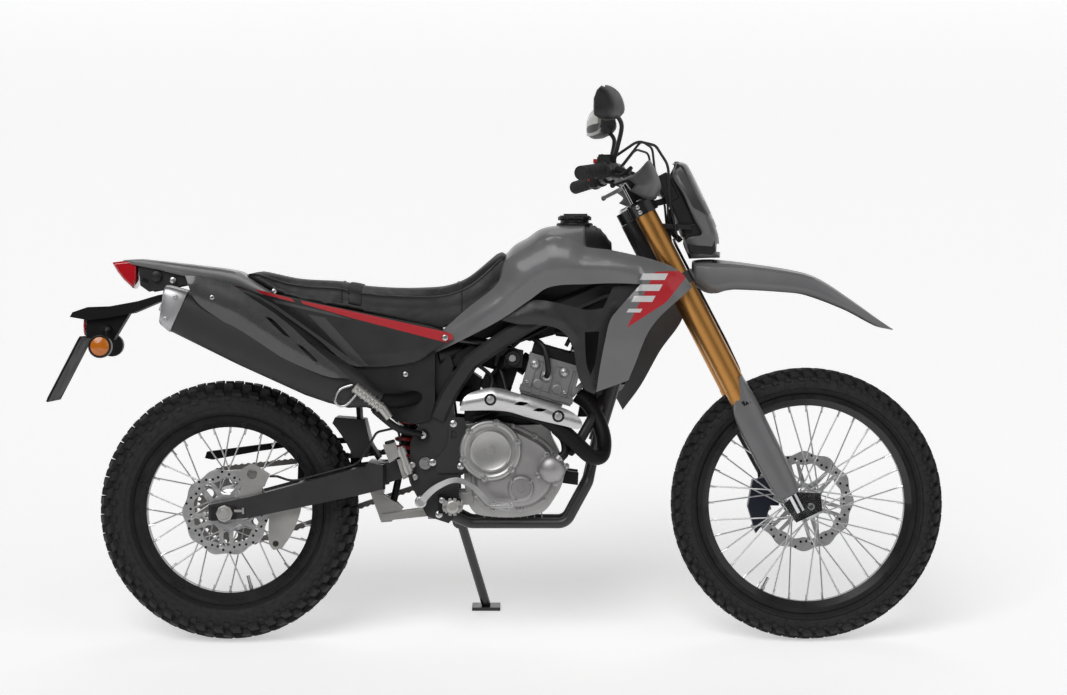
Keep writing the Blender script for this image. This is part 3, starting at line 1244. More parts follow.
def cylinder():
    """Finned barrel, head and cam cover with their plugs, ports and bolts."""
    top = Shape()

    def lump(centre, size, mark=0):
        top.block(on_cylinder(*centre), size, TILT, mark)

    lump((0, 0, 44), (104, 108, 88))
    for z in (4, 20, 36, 52, 68, 86):
        lump((0, 0, z), (109, 113, 5))
    lump((8, 0, 122), (132, 128, 100))
    lump((8, 0, 84), (138, 136, 12))
    lump((8, 0, 168), (136, 134, 14))
    lump((8, -60, 140), (108, 10, 36))
    for a in (-20, 30):
        top.lathe(((13, 0), (13, 9), (11, 10), (8, 10)), on_cylinder(a, -62, 104), RIGHT, 24)
        lump((a, -66, 92), (22, 8, 30))
    for k in range(5):
        lump((-50 + k * 28, -65, 120), (3, 5, 78))
    for a, b in ((-46, -60), (46, -60), (-46, 60), (46, 60), (0, -60)):
        lump((a, b, 130), (22, 16, 78))
    lump((6, 62, 60), (60, 14, 112))
    lump((4, 0, 187), (122, 118, 26), 1)
    lump((-2, 0, 200), (84, 44, 8), 1)
    lump((-22, 0, 200), (22, 100, 8), 1)
    lump((24, 0, 200), (22, 100, 8), 1)
    for a, b in ((-46, -50), (44, -50), (-46, 50), (44, 50)):
        top.lathe(((11, 0), (11, 8), (9, 9)), on_cylinder(a, b, 196), TILT @ Vector((0, 0, 1)), 20, 1)
        top.bolt(on_cylinder(a, b, 205), TILT @ Vector((0, 0, 1)), 5.0, 6, 2)
    for a, z, r in ((-40, 150, 13), (36, 150, 13), (-4, 128, 16)):
        top.knob(on_cylinder(a, -64, z), RIGHT, r, 7, 0.3, 24)
        top.bolt(on_cylinder(a, -71, z), RIGHT, r * 0.5, 4, 2)
    for a, z in ((-48, 102), (50, 102), (-40, 12), (44, 12)):
        top.bolt(on_cylinder(a, -66 if z > 50 else -56, z), RIGHT, 5, 6, 2)
        top.bolt(on_cylinder(a, 66 if z > 50 else 56, z), LEFT, 5, 6, 2)
    port = TILT @ Vector((0.87, 0, -0.49))
    top.lathe(((33, 0), (33, 9), (29, 12), (23, 12)), on_cylinder(70, -34, 112), port, 32)
    top.lathe(((27, 0), (27, 26), (22, 28)), on_cylinder(-54, 0, 138), TILT @ Vector((-0.95, 0, 0.3)), 32, 1)
    top.make("cylinder_and_head", (cylinder_metal, black_case, bright_steel), ["cylinder"], soft=1.6, crease=40.0)


def engine_hoses():
    """Spark lead, water hoses and breathers."""
    wires = Shape()
    wires.hose([on_cylinder(-4, -72, 128), on_cylinder(-6, -86, 150), on_cylinder(-30, -80, 196),
        on_cylinder(-60, -60, 210)], 7, 12)
    wires.hose([PUMP + Vector((44, 0, 42)), (150, -90, 500), (186, -60, 560), (216, 10, 610), (242, 64, 650)], 13, 16)
    wires.hose([on_cylinder(66, 30, 150), (150, 60, 740), (220, 80, 790), (262, 90, 818)], 12, 16)
    wires.hose([(-110, -70, 560), (-60, -84, 580), (-30, -76, 620), (-50, -60, 700)], 4, 10)
    wires.hose([(-128, -60, 560), (-84, -70, 600), (-66, -60, 660), (-110, -70, 700)], 5, 10)
    wires.hose([(-130, 70, 560), (-60, 78, 590), (-20, 74, 640), (-70, 60, 700)], 5, 10)
    wires.make("engine_hoses", hose_rubber)


def boxes_and_cables():
    """Dark boxes, ducts and wiring between the engine and the frame."""
    boxes = Shape()
    for right, left, outline in (
            (-66, 66, ((-146, 590), (-100, 596), (-92, 660), (-138, 690))),
            (-46, 46, ((-96, 566), (-40, 562), (-44, 604), (-92, 612))),
            (-34, 30, ((-92, 690), (-30, 672), (-20, 716), (-84, 748))),
            (-60, 20, ((-96, 640), (-62, 612), (-52, 640), (-80, 676))),
            (-46, 50, ((-20, 766), (60, 800), (176, 826), (196, 790), (120, 776), (30, 752))),
            (6, 16, ((150, 560), (214, 560), (222, 640), (236, 790), (196, 800), (176, 700))),
            (-68, -62, ((-140, 742), (-112, 796), (-14, 836), (38, 828), (-20, 776))),
            (-66, -60, ((-135, 552), (-133, 598), (8, 588), (58, 548), (0, 540))),
            (-34, 34, ((-66, 606), (-58, 716), (-22, 746), (6, 700), (-14, 640))),
            (-54, -50, ((142, 664), (150, 786), (214, 800), (204, 700), (188, 640)))):
        boxes.slab(outline, right, left)
    boxes.tube([(-26, -52, 694), (-44, -70, 700)], 17, 24)
    boxes.tube([(96, -40, 776), (150, -52, 770)], 11, 20)
    for path in (((-120, -60, 716), (-60, -66, 738), (0, -60, 768), (70, -64, 796)),
                 ((-100, -52, 700), (-40, -60, 740), (20, -66, 760), (110, -58, 806)),
                 ((-130, -50, 640), (-70, -56, 664), (-30, -60, 720), (10, -58, 764)),
                 ((-110, 40, 600), (-60, 44, 660), (-20, 40, 730), (40, 44, 780)),
                 ((120, -56, 740), (150, -52, 790), (200, -40, 826)),
                 ((-90, -84, 552), (-40, -86, 570), (20, -80, 560), (60, -70, 545)),
                 ((-60, -78, 566), (0, -74, 590), (40, -70, 580))):
        boxes.hose(path, 5.5, 10)
    boxes.make("starter_and_boxes", black_case, soft=4.0)


def bend_line(points, step=8.0):
    """Smooth line in space through points."""
    spots = [Vector(p) for p in points]
    made = []
    for k in range(len(spots) - 1):
        a, b = spots[k], spots[k + 1]
        before = spots[k - 1] if k else a
        after = spots[k + 2] if k + 2 < len(spots) else b
        run_a, run_b = (b - before) * 0.5, (after - a) * 0.5
        steps = max(2, round((b - a).length / step))
        for part in range(steps):
            t = part / steps
            s, u = t * t, t * t * t
            made.append(a * (2 * u - 3 * s + 1) + run_a * (u - 2 * s + t) + b * (3 * s - 2 * u) + run_b * (u - s))
    made.append(spots[-1])
    return made


def heat_shield():
    """Slotted shield over the exhaust pipe, and the pipe under it."""
    shape = Shape()
    outline = ((-143, 583), (-133, 613), (-113, 628), (-59, 640), (3, 625), (71, 605), (132, 581), (156, 561),
        (159, 547), (149, 538), (118, 545), (30, 565), (-25, 581), (-79, 584))
    slots = (((-9, 599), (4, 606), (27, 603), (13, 596)), ((37, 584), (50, 590), (73, 587), (59, 581)))
    spine = [Vector(q) for q in ((-140, 600), (-60, 614), (30, 595), (110, 566), (158, 552))]

    def place(x, z):
        off = away(Vector((x, z)), spine)
        return Vector((x, -(179 - 0.018 * off * off), z))

    shape.panel([outline, *slots], place, 1.6, 7.0, keep=60.0)
    for x, z in ((-67, 611), (100, 570)):
        shape.lathe(((15, 0), (15, 3), (12, 5)), (x, -178, z), RIGHT, 28, 1)
        shape.bolt((x, -183, z), RIGHT, 7.5, 7)
        shape.knob((x, -160, z), RIGHT, 6, 18)
    shape.make("pipe_heat_shield", (shield_metal, black_metal), ["heat_shield"], soft=0.5, crease=30.0)
    pipe = Shape()
    pipe.tube(bend_line([(148, -34, 617), (176, -38, 596), (200, -50, 556), (214, -76, 508), (208, -108, 470),
        (180, -136, 470), (140, -146, 506), (100, -148, 542), (56, -148, 570), (0, -146, 588), (-56, -142, 600),
        (-104, -108, 612), (-142, -62, 620), (-190, -58, 622), (-240, -86, 616), (-296, -130, 606),
        (-346, -146, 606)], 6.0), 19.5, 28)
    pipe.turned(((20, 0), (27, 0), (27, 14), (20, 14)), (-345, -146, 606), (-0.4, 0, 0.05), 32)
    pipe.make("header_pipe", pipe_black, ["exhaust_pipe"], crease=50.0)


def strip(shape, path, tall, thick):
    """Flat bar along a path, upright across it in the side view."""
    rows = []
    path = [Vector(p) for p in path]
    for k, point in enumerate(path):
        run = path[min(k + 1, len(path) - 1)] - path[max(k - 1, 0)]
        up = Vector((-run.z, 0, run.x)).normalized() * (tall(k / (len(path) - 1)) if callable(tall) else tall) / 2
        out = beside(thick / 2)
        rows.append([point + up - out, point + up + out, point - up + out, point - up - out])
    shape.rows(rows, True, True)


def hanger_plates():
    """Plates behind the engine that carry the pegs, each with a window."""
    plates = Shape()
    for side in SIDES:
        plates.panel([((-171, 566), (-133, 563), (-113, 459), (-121, 425), (-201, 425), (-212, 452), (-178, 493)),
            ((-165, 531), (-153, 530), (-151, 512), (-165, 512))], lambda x, z, side=side: Vector((x, side * 107, z)),
            -side * 4, 14.0, keep=60.0)
        for x, z in ((-142, 442), (-160, 548)):
            plates.bolt((x, side * 107, z), (0, side, 0), 7, 6, 1)
    plates.make("hanger_plates", (dark_plastic, bright_steel), soft=1.0)


def pedals():
    """Brake pedal with its toothed tread on the right, shift lever on the left."""
    pedal = Shape()
    strip(pedal, bend_line([(-240, -132, 356), (-205, -138, 390), (-154, -150, 411), (-110, -152, 394),
        (-68, -157, 356), (-20, -160, 346)]), lambda t: 19 - 6 * sin(pi * t), 9)
    pedal.lathe(((15, 0), (15, 22), (12, 25), (5, 25)), (-240, -112, 356), RIGHT, 28)
    pedal.block((-38, -163, 348), (56, 30, 7))
    for k in range(7):
        for side in SIDES:
            pedal.block((-62 + k * 8, -163 + side * 12.5, 353), (4, 5, 6))
    pedal.make("brake_pedal", pedal_steel, ["pedals"], soft=0.9)
    lever = Shape()
    strip(lever, bend_line([(-120, 122, 372), (-60, 130, 352), (10, 134, 338), (34, 135, 341)]), 13, 7)
    lever.lathe(((13, 0), (13, 30), (11, 32)), (-120, 96, 372), LEFT, 28)
    lever.lathe(((7, 0), (7, 8), (10, 10), (10, 36), (8, 38)), (32, 131, 340), LEFT, 24, 1)
    lever.make("shift_lever", (zinc, grip_rubber), soft=0.9)


def foot_pegs():
    """Toothed pegs with their brackets, and the passenger's pegs on their hangers."""
    pegs = Shape()
    for side in SIDES:
        y = side * 184
        pegs.block((-159, y, 343), (46, 64, 8))
        for edge in SIDES:
            pegs.block((-159 + edge * 22, y, 350), (5, 66, 12))
            for k in range(8):
                pegs.block((-159 + edge * 22, side * (155 + k * 8.5), 358), (5, 4, 7))
        pegs.block((-159, side * 217, 350), (44, 5, 16))
        pegs.block((-159, side * 153, 348), (30, 12, 24))
        pegs.slab(((-198, 374), (-142, 362), (-136, 334), (-146, 322), (-198, 326)), side * 103, side * 112, 1)
        pegs.tube([(-166, side * 108, 348), (-160, side * 150, 350)], 12, 20, 1)
        for x, z in ((-153, 336), (-188, 358)):
            pegs.bolt((x, side * 112, z), (0, side, 0), 6, 6, 2)
    for side in SIDES:
        pegs.turned(((8, 0), (17, 0), (17, 5), (14, 7), (8, 7)), (-159, side * 213, 350), (0, side, 0), 28)
        for angle in angles(10):
            pegs.block((-159 + 18 * cos(angle), side * 215, 350 + 18 * sin(angle)), (8, 9, 8),
                Matrix.Rotation(-angle, 3, "Y"))
    for side, out in ((1, 140.0), (-1, 196.0)):
        pegs.hose([(-236, side * 109, 520), (-296, side * (out - 34), 540), (-352, side * (out - 10), 586)], 9, 20, 1)
        pegs.lathe(((15, 0), (15, 10), (12, 13)), (-236, side * 103, 520), (0, side, 0), 28, 1)
        pegs.bolt((-236, side * 115, 520), (0, side, 0), 7, 6, 2)
        line = [(-314, side * out, 566), (-330, side * out, 588), (-400, side * out, 642)]
        pegs.tube(line, lambda t: 10 + 3 * t, 20)
        for k in range(7):
            share = (k + 0.5) / 7
            pegs.lathe(((12.6, 0), (14.4, 1.5), (14.4, 4), (12.6, 5.5)), Vector(line[1]).lerp(Vector(line[2]), share),
                Vector(line[2]) - Vector(line[1]), 24)
        pegs.hose([(-392, side * out, 628), (-424, side * out, 596), (-447, side * out, 606), (-436, side * out, 636),
            (-404, side * out, 648)], 3.2, 10, 2)
    pegs.make("foot_pegs", (zinc, black_metal, bright_steel), ["footpegs"], soft=0.8)


def rear_brake():
    """Rear brake's cylinder, caliper, mounting plate and guard."""
    brake = Shape()
    brake.tube([(-262, -127, 402), (-268, -127, 424)], 5, 14, 1)
    for x0, z0, x1, z1, radius in ((-268, 424, -292, 492, 9), (-270, 430, -276, 447, 12), (-284, 470, -290, 487, 12)):
        brake.tube([(x0, -127, z0), (x1, -127, z1)], radius, 24)
    brake.slab(((-334, 497), (-304, 505), (-292, 470), (-318, 452)), -135, -119)
    brake.slab(((-300, 460), (-276, 466), (-262, 420), (-284, 410)), -123, -118)
    brake.knob((-316, -127, 500), (-0.24, 0, 0.97), 13, 8, 0.2, 24, 1)
    for z, x in ((446, -262), (416, -256)):
        brake.bolt((x, -119, z), RIGHT, 6, 6)
        brake.knob((x, -103, z), RIGHT, 8, 16)
    x, z = AXLE_R.x, AXLE_R.z
    brake.slab(((x + 46, z + 66), (x + 26, z + 100), (x + 66, z + 123), (x + 110, z + 96), (x + 96, z + 64)), -98, -88)
    brake.slab(((x + 50, z + 76), (x + 34, z + 98), (x + 66, z + 116), (x + 100, z + 94), (x + 88, z + 74)), -76, -65)
    brake.knob((x + 66, -92, z + 96), RIGHT, 17, 6)
    brake.slab(((x + 30, z + 20), (x + 90, z + 30), (x + 92, z + 78), (x + 42, z + 78)), -97.6, -91)
    brake.panel([((x + 108, z - 2), (x + 106, z - 44), (x + 108, z - 80), (x + 118, z - 94), (x + 140, z - 90),
        (x + 164, z - 54), (x + 184, z - 6), (x + 188, z + 14), (x + 152, z + 18))], lambda a, b: Vector((a, -90, b)),
        2.4, 12.0)
    brake.bolt((x + 124, -90.5, z - 78), RIGHT, 6, 4, 1)
    brake.make("rear_brake_pieces", (zinc, black_plastic), ["rear_brake"], soft=1.0)


# ---------------------------------------------------------------- bars, lamp and small parts


def on_bar(side, inward, ahead=0.0, up=0.0):
    """Point on the handlebar's straight outer part, that far in from its end."""
    line = (BAR_END - BAR_BEND).normalized()
    spot = BAR_END - line * inward
    return Vector((spot.x + ahead, side * spot.y, spot.z + up))


def controls():
    """Grips, switches, perches, levers and the brake's reservoir."""
    rubber_parts = Shape()
    parts = Shape()
    for side in SIDES:
        axis = (on_bar(side, 0) - on_bar(side, 120)).normalized()
        section = [(15.5, 0), (22.5, 1), (22.5, 4), (17.5, 7)]
        for k in range(17):
            at = 10 + k * 6
            section += [(17.2, at), (17.2, at + 2.2), (16.2, at + 3.0), (16.2, at + 5.2)]
        section += [(17.4, 114), (17.4, 121), (15.5, 124), (9, 125.5)]
        rubber_parts.lathe(section, on_bar(side, 122), axis, 28)
        parts.lathe(((17, 0), (20.5, 2), (20.5, 17), (19.4, 18), (20.5, 19), (20.5, 34), (17, 36)), on_bar(side, 162),
            axis, 32)
        parts.block(on_bar(side, 144, -4, 22), (30, 32, 16))
        parts.block(on_bar(side, 144, -16, -4), (20, 30, 34))
        if side < 0:
            parts.block(on_bar(side, 144, -24, 20), (9, 16, 10), None, 1)
            parts.hose([on_bar(side, 150, 10, -14), on_bar(side, 164, 30, -16), on_bar(side, 190, 46, 2)], 5, 12)
        else:
            for k, (a, b) in enumerate(((-4, 12), (6, 12), (0, 0), (0, -12))):
                parts.block(on_bar(side, 144 + a, -27, b), (6, 8, 7), None, 1 if k == 2 else 3)
        perch_out, perch_in = on_bar(side, 168), on_bar(side, 196)
        parts.lathe(((12, 0), (16.5, 2), (16.5, 25), (12, 27)), on_bar(side, 195), axis, 28)
        pivot = Vector((perch_in.x + 40, perch_in.y + side * 6, perch_in.z - 18))
        middle = (perch_out + perch_in) * 0.5
        parts.tube([middle + Vector((6, 0, -2)), middle.lerp(pivot, 0.55), pivot], lambda t: 13 - 2 * t, 20)
        parts.lathe(((11, 0), (12, 2), (12, 16), (11, 18)), pivot + Vector((0, 0, -9)), UP, 24)
        parts.bolt(pivot + Vector((0, 0, 9)), UP, 6, 5, 2)
        tip = Vector((BAR_END.x + 78, side * (BAR_END.y - 10), BAR_END.z - 28))
        knee = pivot.lerp(tip, 0.3) + Vector((10, 0, 0))
        lever = bend_line([pivot, knee, pivot.lerp(tip, 0.62) + Vector((6, 0, 0)), tip + Vector((-2, 0, 0)), tip])
        rows = []
        for k, point in enumerate(lever):
            share = k / (len(lever) - 1)
            tall = 6.5 - 1.5 * share + 3.2 * max(0.0, 1 - abs(share - 0.97) / 0.05)
            deep = 8.0 - 3.4 * min(1.0, share * 3) + 2.4 * max(0.0, 1 - abs(share - 0.97) / 0.05)
            rows.append([point + Vector((deep * cos(a), 0, tall * sin(a))) for a in angles(12)])
        parts.rows(rows, True, True, 3)
    box = BAR_MIDDLE + Vector((-70, -214, 63))
    parts.block(box + Vector((0, 0, -4)), (42, 34, 20))
    parts.block(box + Vector((0, 0, 9.5)), (45, 37, 6))
    parts.knob(box + Vector((-21.5, 0, -4)), (-1, 0, 0), 5, 1.6, 0.2, 20, 2)
    for spot in ((-14, -11), (14, 11)):
        parts.knob(box + Vector((spot[0], spot[1], 12.5)), UP, 3, 1.6, 0.2, 14, 2)
    parts.tube([on_bar(-1, 190, 4, 8), box + Vector((10, 10, -12))], 9, 16)
    rubber_parts.make("grip_sleeves", grip_rubber, ["grips"], "steering", crease=50.0)
    parts.make("bar_controls", (black_plastic, red_plastic, bright_steel, lever_metal), ["hand_controls"], "steering",
        soft=1.2, crease=40.0)


def clamp_bolts():
    """Bolts and caps of the fork's clamps, and the nut of the steering stem."""
    clamps = Shape()
    for side in SIDES:
        for ahead in (-13, 13):
            clamps.bolt(steer(BAR_AHEAD + ahead, side * 45, CLAMP_TOP + 58.5), STEER_UP, 4.6, 4)
        clamps.lathe(((27.4, 0), (27.4, 3), (25, 6.5), (13, 6.5), (12, 4), (0.1, 4)),
            steer(FORK_OFFSET, side * FORK_SPREAD, CLAMP_TOP), STEER_UP, 40, 2)
        clamps.bolt(steer(FORK_OFFSET, side * FORK_SPREAD, CLAMP_TOP + 5), STEER_UP, 6, 4)
        for along in (640, 654, 843, 857):
            clamps.bolt(steer(FORK_OFFSET - 12, side * (FORK_SPREAD + 37), along), (0, side, 0), 4.2, 4)
        clamps.lathe(((31.5, 0), (31.5, 12), (30, 16)), steer(FORK_OFFSET, side * FORK_SPREAD, 298), STEER_UP, 44, 2)
    clamps.lathe(((19, 0), (19, 6), (15, 9), (6, 9), (6, 6)), steer(0, 0, CLAMP_TOP), STEER_UP, 6)
    clamps.make("clamp_bolts_and_caps", (bright_steel, gold, black_metal), body="steering", soft=0.4)


def mirrors():
    """Two stalked mirrors with their glass behind."""
    backs, glass = Shape(), Shape()
    stations = ((298, 0.72, 0), (306, 0.9, 0.05), (325, 1.0, 0.2), (352, 1.05, 0.5), (378, 1.0, 0.75),
        (396, 0.86, 0.95), (402, 0.66, 1.0))
    for side in SIDES:
        rows, sheet = [], []
        for y, size, lean in stations:
            mid = Vector((-50 - 40 * lean, 194 - 6 * lean))
            size *= 0.88
            ring = rounded([mid + Vector((a * size, b * size)) for a, b in ((2, -44), (24, -28), (24, 2), (8, 36),
                (-10, 48), (-24, 16), (-24, -36))], 80.0, 9.0)[:30]
            ring = [ring[int(k * len(ring) / 24)] for k in range(24)]
            rows.append([BAR_MIDDLE + Vector((p.x, side * y, p.y)) for p in ring])
            if 300 < y < 400:
                line = [mid + Vector((a * size, b * size)) for a, b in ((-24.8, -36), (-25.4, -10), (-24.8, 14),
                    (-14.8, 42))]
                sheet.append([BAR_MIDDLE + Vector((p.x - 1.6, side * y, p.y)) for p in line])
        backs.rows(rows, True, True)
        glass.rows(sheet)
        stalk = [Vector((-61, 236, 43)), Vector((-46, 250, 97)), Vector((-38, 286, 142)), Vector((-52, 318, 166))]
        backs.tube([BAR_MIDDLE + Vector((p.x, side * p.y, p.z)) for p in bend_line(stalk)], 5.6, 14)
        backs.lathe(((9, 0), (9, 14), (6, 18)), BAR_MIDDLE + Vector((-61, side * 236, 30)), UP, 6)
        backs.knob(BAR_MIDDLE + Vector((-56, side * 296, 168)), (0, side, 0), 9, 12)
    backs.make("mirror_backs", black_plastic, ["mirrors"], "steering", crease=50.0)
    glass.make("mirror_faces", mirror_glass, body="steering", solid=1.2)


def guards_for_hands():
    """Curved shields ahead of the levers."""
    low = table(((205, -26), (240, -33), (300, -38), (360, -33), (404, -21)))
    top = table(((205, 19), (240, 38), (275, 55), (305, 57), (360, 30), (404, 10)))
    ahead = table(((205, 50), (250, 46), (300, 34), (350, 12), (404, -20)))
    shape = Shape()
    for side in SIDES:
        rows = []
        for y in spaced(205, 199, 28):
            row = []
            for t in range(11):
                x = ahead(y) + 12 * sin(pi * t / 10) - 0.22 * max(0.0, t / 10 - 0.5) * 60
                row.append(BAR_MIDDLE + Vector((x, side * y, low(y) + (top(y) - low(y)) * t / 10)))
            rows.append(row)
        shape.rows(rows)
        shape.tube([BAR_MIDDLE + Vector(p) for p in ((46, side * 216, 4), (4, side * 208, 24),
            (-42, side * 201, 40))], 6, 14)
    shape.make("hand_shields", guard_grey, ["hand_guards"], "steering", crease=40.0, solid=3.0)


COWL_LEVELS = (
    # front x, z, side's rear x, z, half width
    (-256, 888, -268, 886, 38), (-244, 880, -284, 866, 58), (-226, 846, -284, 846, 74), (-207, 806, -260, 806, 85),
    (-190, 770, -246, 772, 88), (-177, 738, -230, 738, 84), (-166, 708, -214, 704, 76), (-162, 682, -252, 692, 66),
    (-163, 648, -238, 646, 50),
)


def cowl():
    """Mask with a dark screen and an opening for the lamp."""
    shell = Shape()
    columns = [table([(k, level[j]) for k, level in enumerate(COWL_LEVELS)]) for j in range(5)]
    section = both_halves(((-1, 1.0), (-1, 0.5), (-0.985, 0.0), (-0.93, 0.0), (-0.8, 0.0), (-0.62, 0.0),
        (-0.4, 0.0), (-0.2, 0.0), (0, 0.0)))
    rows = []
    for level in spaced(0, 8, 40):
        fx, fz, bx, bz, half = (column(level) for column in columns)
        row = []
        for share, back in section:
            x = fx - 26 * abs(share) ** 3.2
            row.append(STEER_FOOT + Vector((x + (bx - x) * back, half * share, fz + (bz - fz) * back)))
        rows.append(row)
    wide = len(section)
    points = [point for row in rows for point in row]
    faces, dark = [], []
    for r in range(40):
        for j in range(wide - 1):
            corners = (r * wide + j, r * wide + j + 1, (r + 1) * wide + j + 1, (r + 1) * wide + j)
            mid = sum((points[c] for c in corners), Vector()) / 4 - STEER_FOOT
            if abs(mid.y) < 46 and 664 < mid.z < 724:
                continue
            (dark if abs(mid.y) < 62 and mid.z > 742 and r > 2 else faces).append(corners)
    shell.add(points, faces, 0)
    shell.add(points, dark, 1)
    shell.make("lamp_cowl", (cowl_grey, smoke), ["headlight_cowl"], "steering", crease=30.0, solid=3.0)


def lamp_and_meter():
    """Lamp lens in the mask's opening, its housing, and the meter with its screen behind."""
    lens, bowl = Shape(), Shape()
    grid = []
    for z in spaced(662, 64, 8):
        x = -168 - (z - 662) * 0.14 - 4
        grid.append([STEER_FOOT + Vector((x + 6 * (1 - (y / 50) ** 2) - 7, y, z)) for y in range(-50, 51, 10)])
    lens.rows(grid)
    lens.make("lamp_lens", clear_lens, ["headlight"], "steering", crease=50.0, solid=2.0)
    bowl.slab(from_foot((-262, 728), (-190, 738), (-182, 722), (-178, 664), (-186, 654), (-243, 660)), -62, 62)
    for side in SIDES:
        bowl.slab(from_foot((-326, 719), (-240, 717), (-240, 729), (-326, 733)), side * 62, side * 80)
        bowl.hose([STEER_FOOT + Vector((-262, side * 30, 690)), STEER_FOOT + Vector((-286, side * 20, 720)),
            STEER_FOOT + Vector((-290, side * 24, 770))], 6, 12)
    bowl.slab(from_foot((-316, 836), (-286, 850), (-246, 770), (-216, 704), (-258, 700), (-280, 760)), -58, 58)
    bowl.make("lamp_housing", black_plastic, body="steering", soft=2.0)
    dial = Shape()
    dial.slab(from_foot((-333, 846), (-301, 862), (-269, 798), (-299, 784)), -62, 62)
    dial.slab(from_foot((-373, 766), (-373, 782), (-297, 800), (-289, 786)), -20, 20)
    a, b = Vector((STEER_FOOT.x - 336, 0, STEER_FOOT.z + 843)), Vector((STEER_FOOT.x - 305, 0, STEER_FOOT.z + 785))
    face = (b - a).normalized()
    out = Vector((face.z, 0, -face.x))
    out = out if out.x < 0 else -out
    dial.rows([[a + face * along + out * 0.5 + beside(y) for y in (-52, -20, 20, 52)] for along in (8, 30, 56)], mark=1)
    dial.make("meter_and_screen", (black_plastic, smoke), ["meter"], "steering", soft=2.0)


def shock():
    """Coil spring round its damper, with the eyes and the preload rings."""
    low, top = Vector((-318, 0, 330)), Vector((-240, 0, 700))
    line = (top - low).normalized()
    side, length = beside(1), (top - low).length
    other = line.cross(side)
    shape = Shape()
    turns, steps = 8.5, 220
    path = []
    for k, along in enumerate(spaced(104, length - 196, steps)):
        angle = 2 * pi * turns * k / steps
        path.append(low + line * along + (side * cos(angle) + other * sin(angle)) * 25.5)
    shape.tube(path, 5.2, 10)
    shape.lathe(((9, 14), (9, 96), (20, 96), (30, 98), (30, 104), (17, 106), (17, length - 92), (30, length - 90),
        (30, length - 84), (26, length - 82), (26, length - 74), (23, length - 72), (23, length - 48),
        (14, length - 42), (14, length - 10)), low, line, 32, 1)
    for spot in (low, top):
        shape.turned(((6.2, -14), (15, -14), (15, 14), (6.2, 14)), spot, LEFT, 28, True, 2)
    shape.make("shock_and_spring", (spring_red, black_metal, zinc), ["rear_shock"], crease=40.0)


def radiator_guard():
    """Slats ahead of the radiator in their frame, and its two tanks."""
    guard = Shape()
    for k in range(12):
        z = 650 + k * 14
        x = 266 + (z - 640) * 0.235
        guard.slab(((x - 2, z), (x + 14, z - 4), (x + 14, z - 1), (x - 2, z + 3)), 54, 134)
    guard.slab(((228, 626), (262, 626), (272, 642), (236, 642)), 50, 138, 1)
    guard.slab(((272, 828), (308, 818), (312, 834), (280, 842)), 50, 138, 1)
    for y in (50, 136):
        guard.slab(((232, 640), (272, 640), (314, 820), (276, 830)), y, y + 3)
    guard.make("radiator_guard_and_tanks", (black_plastic, zinc), soft=0.6)


def plate_and_reflectors():
    """Blank plate, amber reflectors at its sides and a red one above it."""
    plate = Shape()
    top, foot = Vector((-1090, 0, 764)), Vector((-1174, 0, 602))
    down = (foot - top).normalized()
    out = beside(1).cross(down).normalized()
    out = out if out.x < 0 else -out
    plate.rows([[top + down * a + out * 3.4 + beside(y) for y in (-84, 84)] for a in (6, 176)])
    plate.make("blank_plate", plate_white, solid=1.0)
    lamps = Shape()
    for side in SIDES:
        for k, section in enumerate((((24, 0), (23, 3), (17, 6), (0.1, 7.5)),
                ((29, -20), (29, 1), (26, 3), (24.5, 1)))):
            lamps.lathe(section, (-1040, side * 101, 740), (0, side, 0), 36, k)
        lamps.knob(top + down * 12 + out * 4.5 + beside(side * 50), out, 5, 3, 0.2, 16, 2)
    lamps.lathe(((25, 0), (24, 4), (0.1, 6)), (-1090, 0, 790), (-1, 0, 0), 32, 3)
    lamps.make("rear_reflectors", (amber_lens, black_plastic, bright_steel, red_lens), crease=40.0)


def caliper_faces():
    """Piston caps and bolts on the front caliper."""
    faces = Shape()
    for dx, dz in ((-108, 22), (-117, -34)):
        faces.lathe(((19, 0), (19, 3), (16, 5), (9, 5), (8, 3), (0.1, 3)), AXLE_F + Vector((dx, 84, dz)), LEFT, 32)
    for dx, dz in ((-94, 46), (-86, -20), (-126, -66), (-68, 2)):
        faces.bolt(AXLE_F + Vector((dx, 84, dz)), LEFT, 5, 5, 1)
    faces.make("caliper_faces", (blue_black, bright_steel), body="steering", soft=0.5)


def chain_adjusters():
    """Axle plates, nuts and chain adjusters at the swingarm's ends."""
    ends = Shape()
    x, z = AXLE_R.x, AXLE_R.z
    for side in SIDES:
        ends.slab(((x - 34, z - 19), (x + 30, z - 15), (x + 30, z + 18), (x - 34, z + 19)), side * 118.2,
            side * 120.6, 1)
        ends.lathe(((21, 0), (21, 6), (19, 8), (12, 8)), (x, side * 120, z), (0, side, 0), 8)
        ends.lathe(((14, 0), (14, 12), (12, 14), (7, 14), (6, 11), (0.1, 11)), (x, side * 120, z), (0, side, 0), 6)
        ends.block((x + 36, side * 119, z + 6), (24, 5, 6))
        ends.block((x + 46, side * 119, z + 6), (5, 7, 15))
        ends.tube([(x - 38, side * 103, z), (x - 54, side * 103, z)], 4, 12)
        ends.lathe(((8, 0), (8, 6)), (x - 46, side * 103, z), (-1, 0, 0), 6)
    ends.make("chain_adjusters", (zinc, black_paint), soft=0.6)


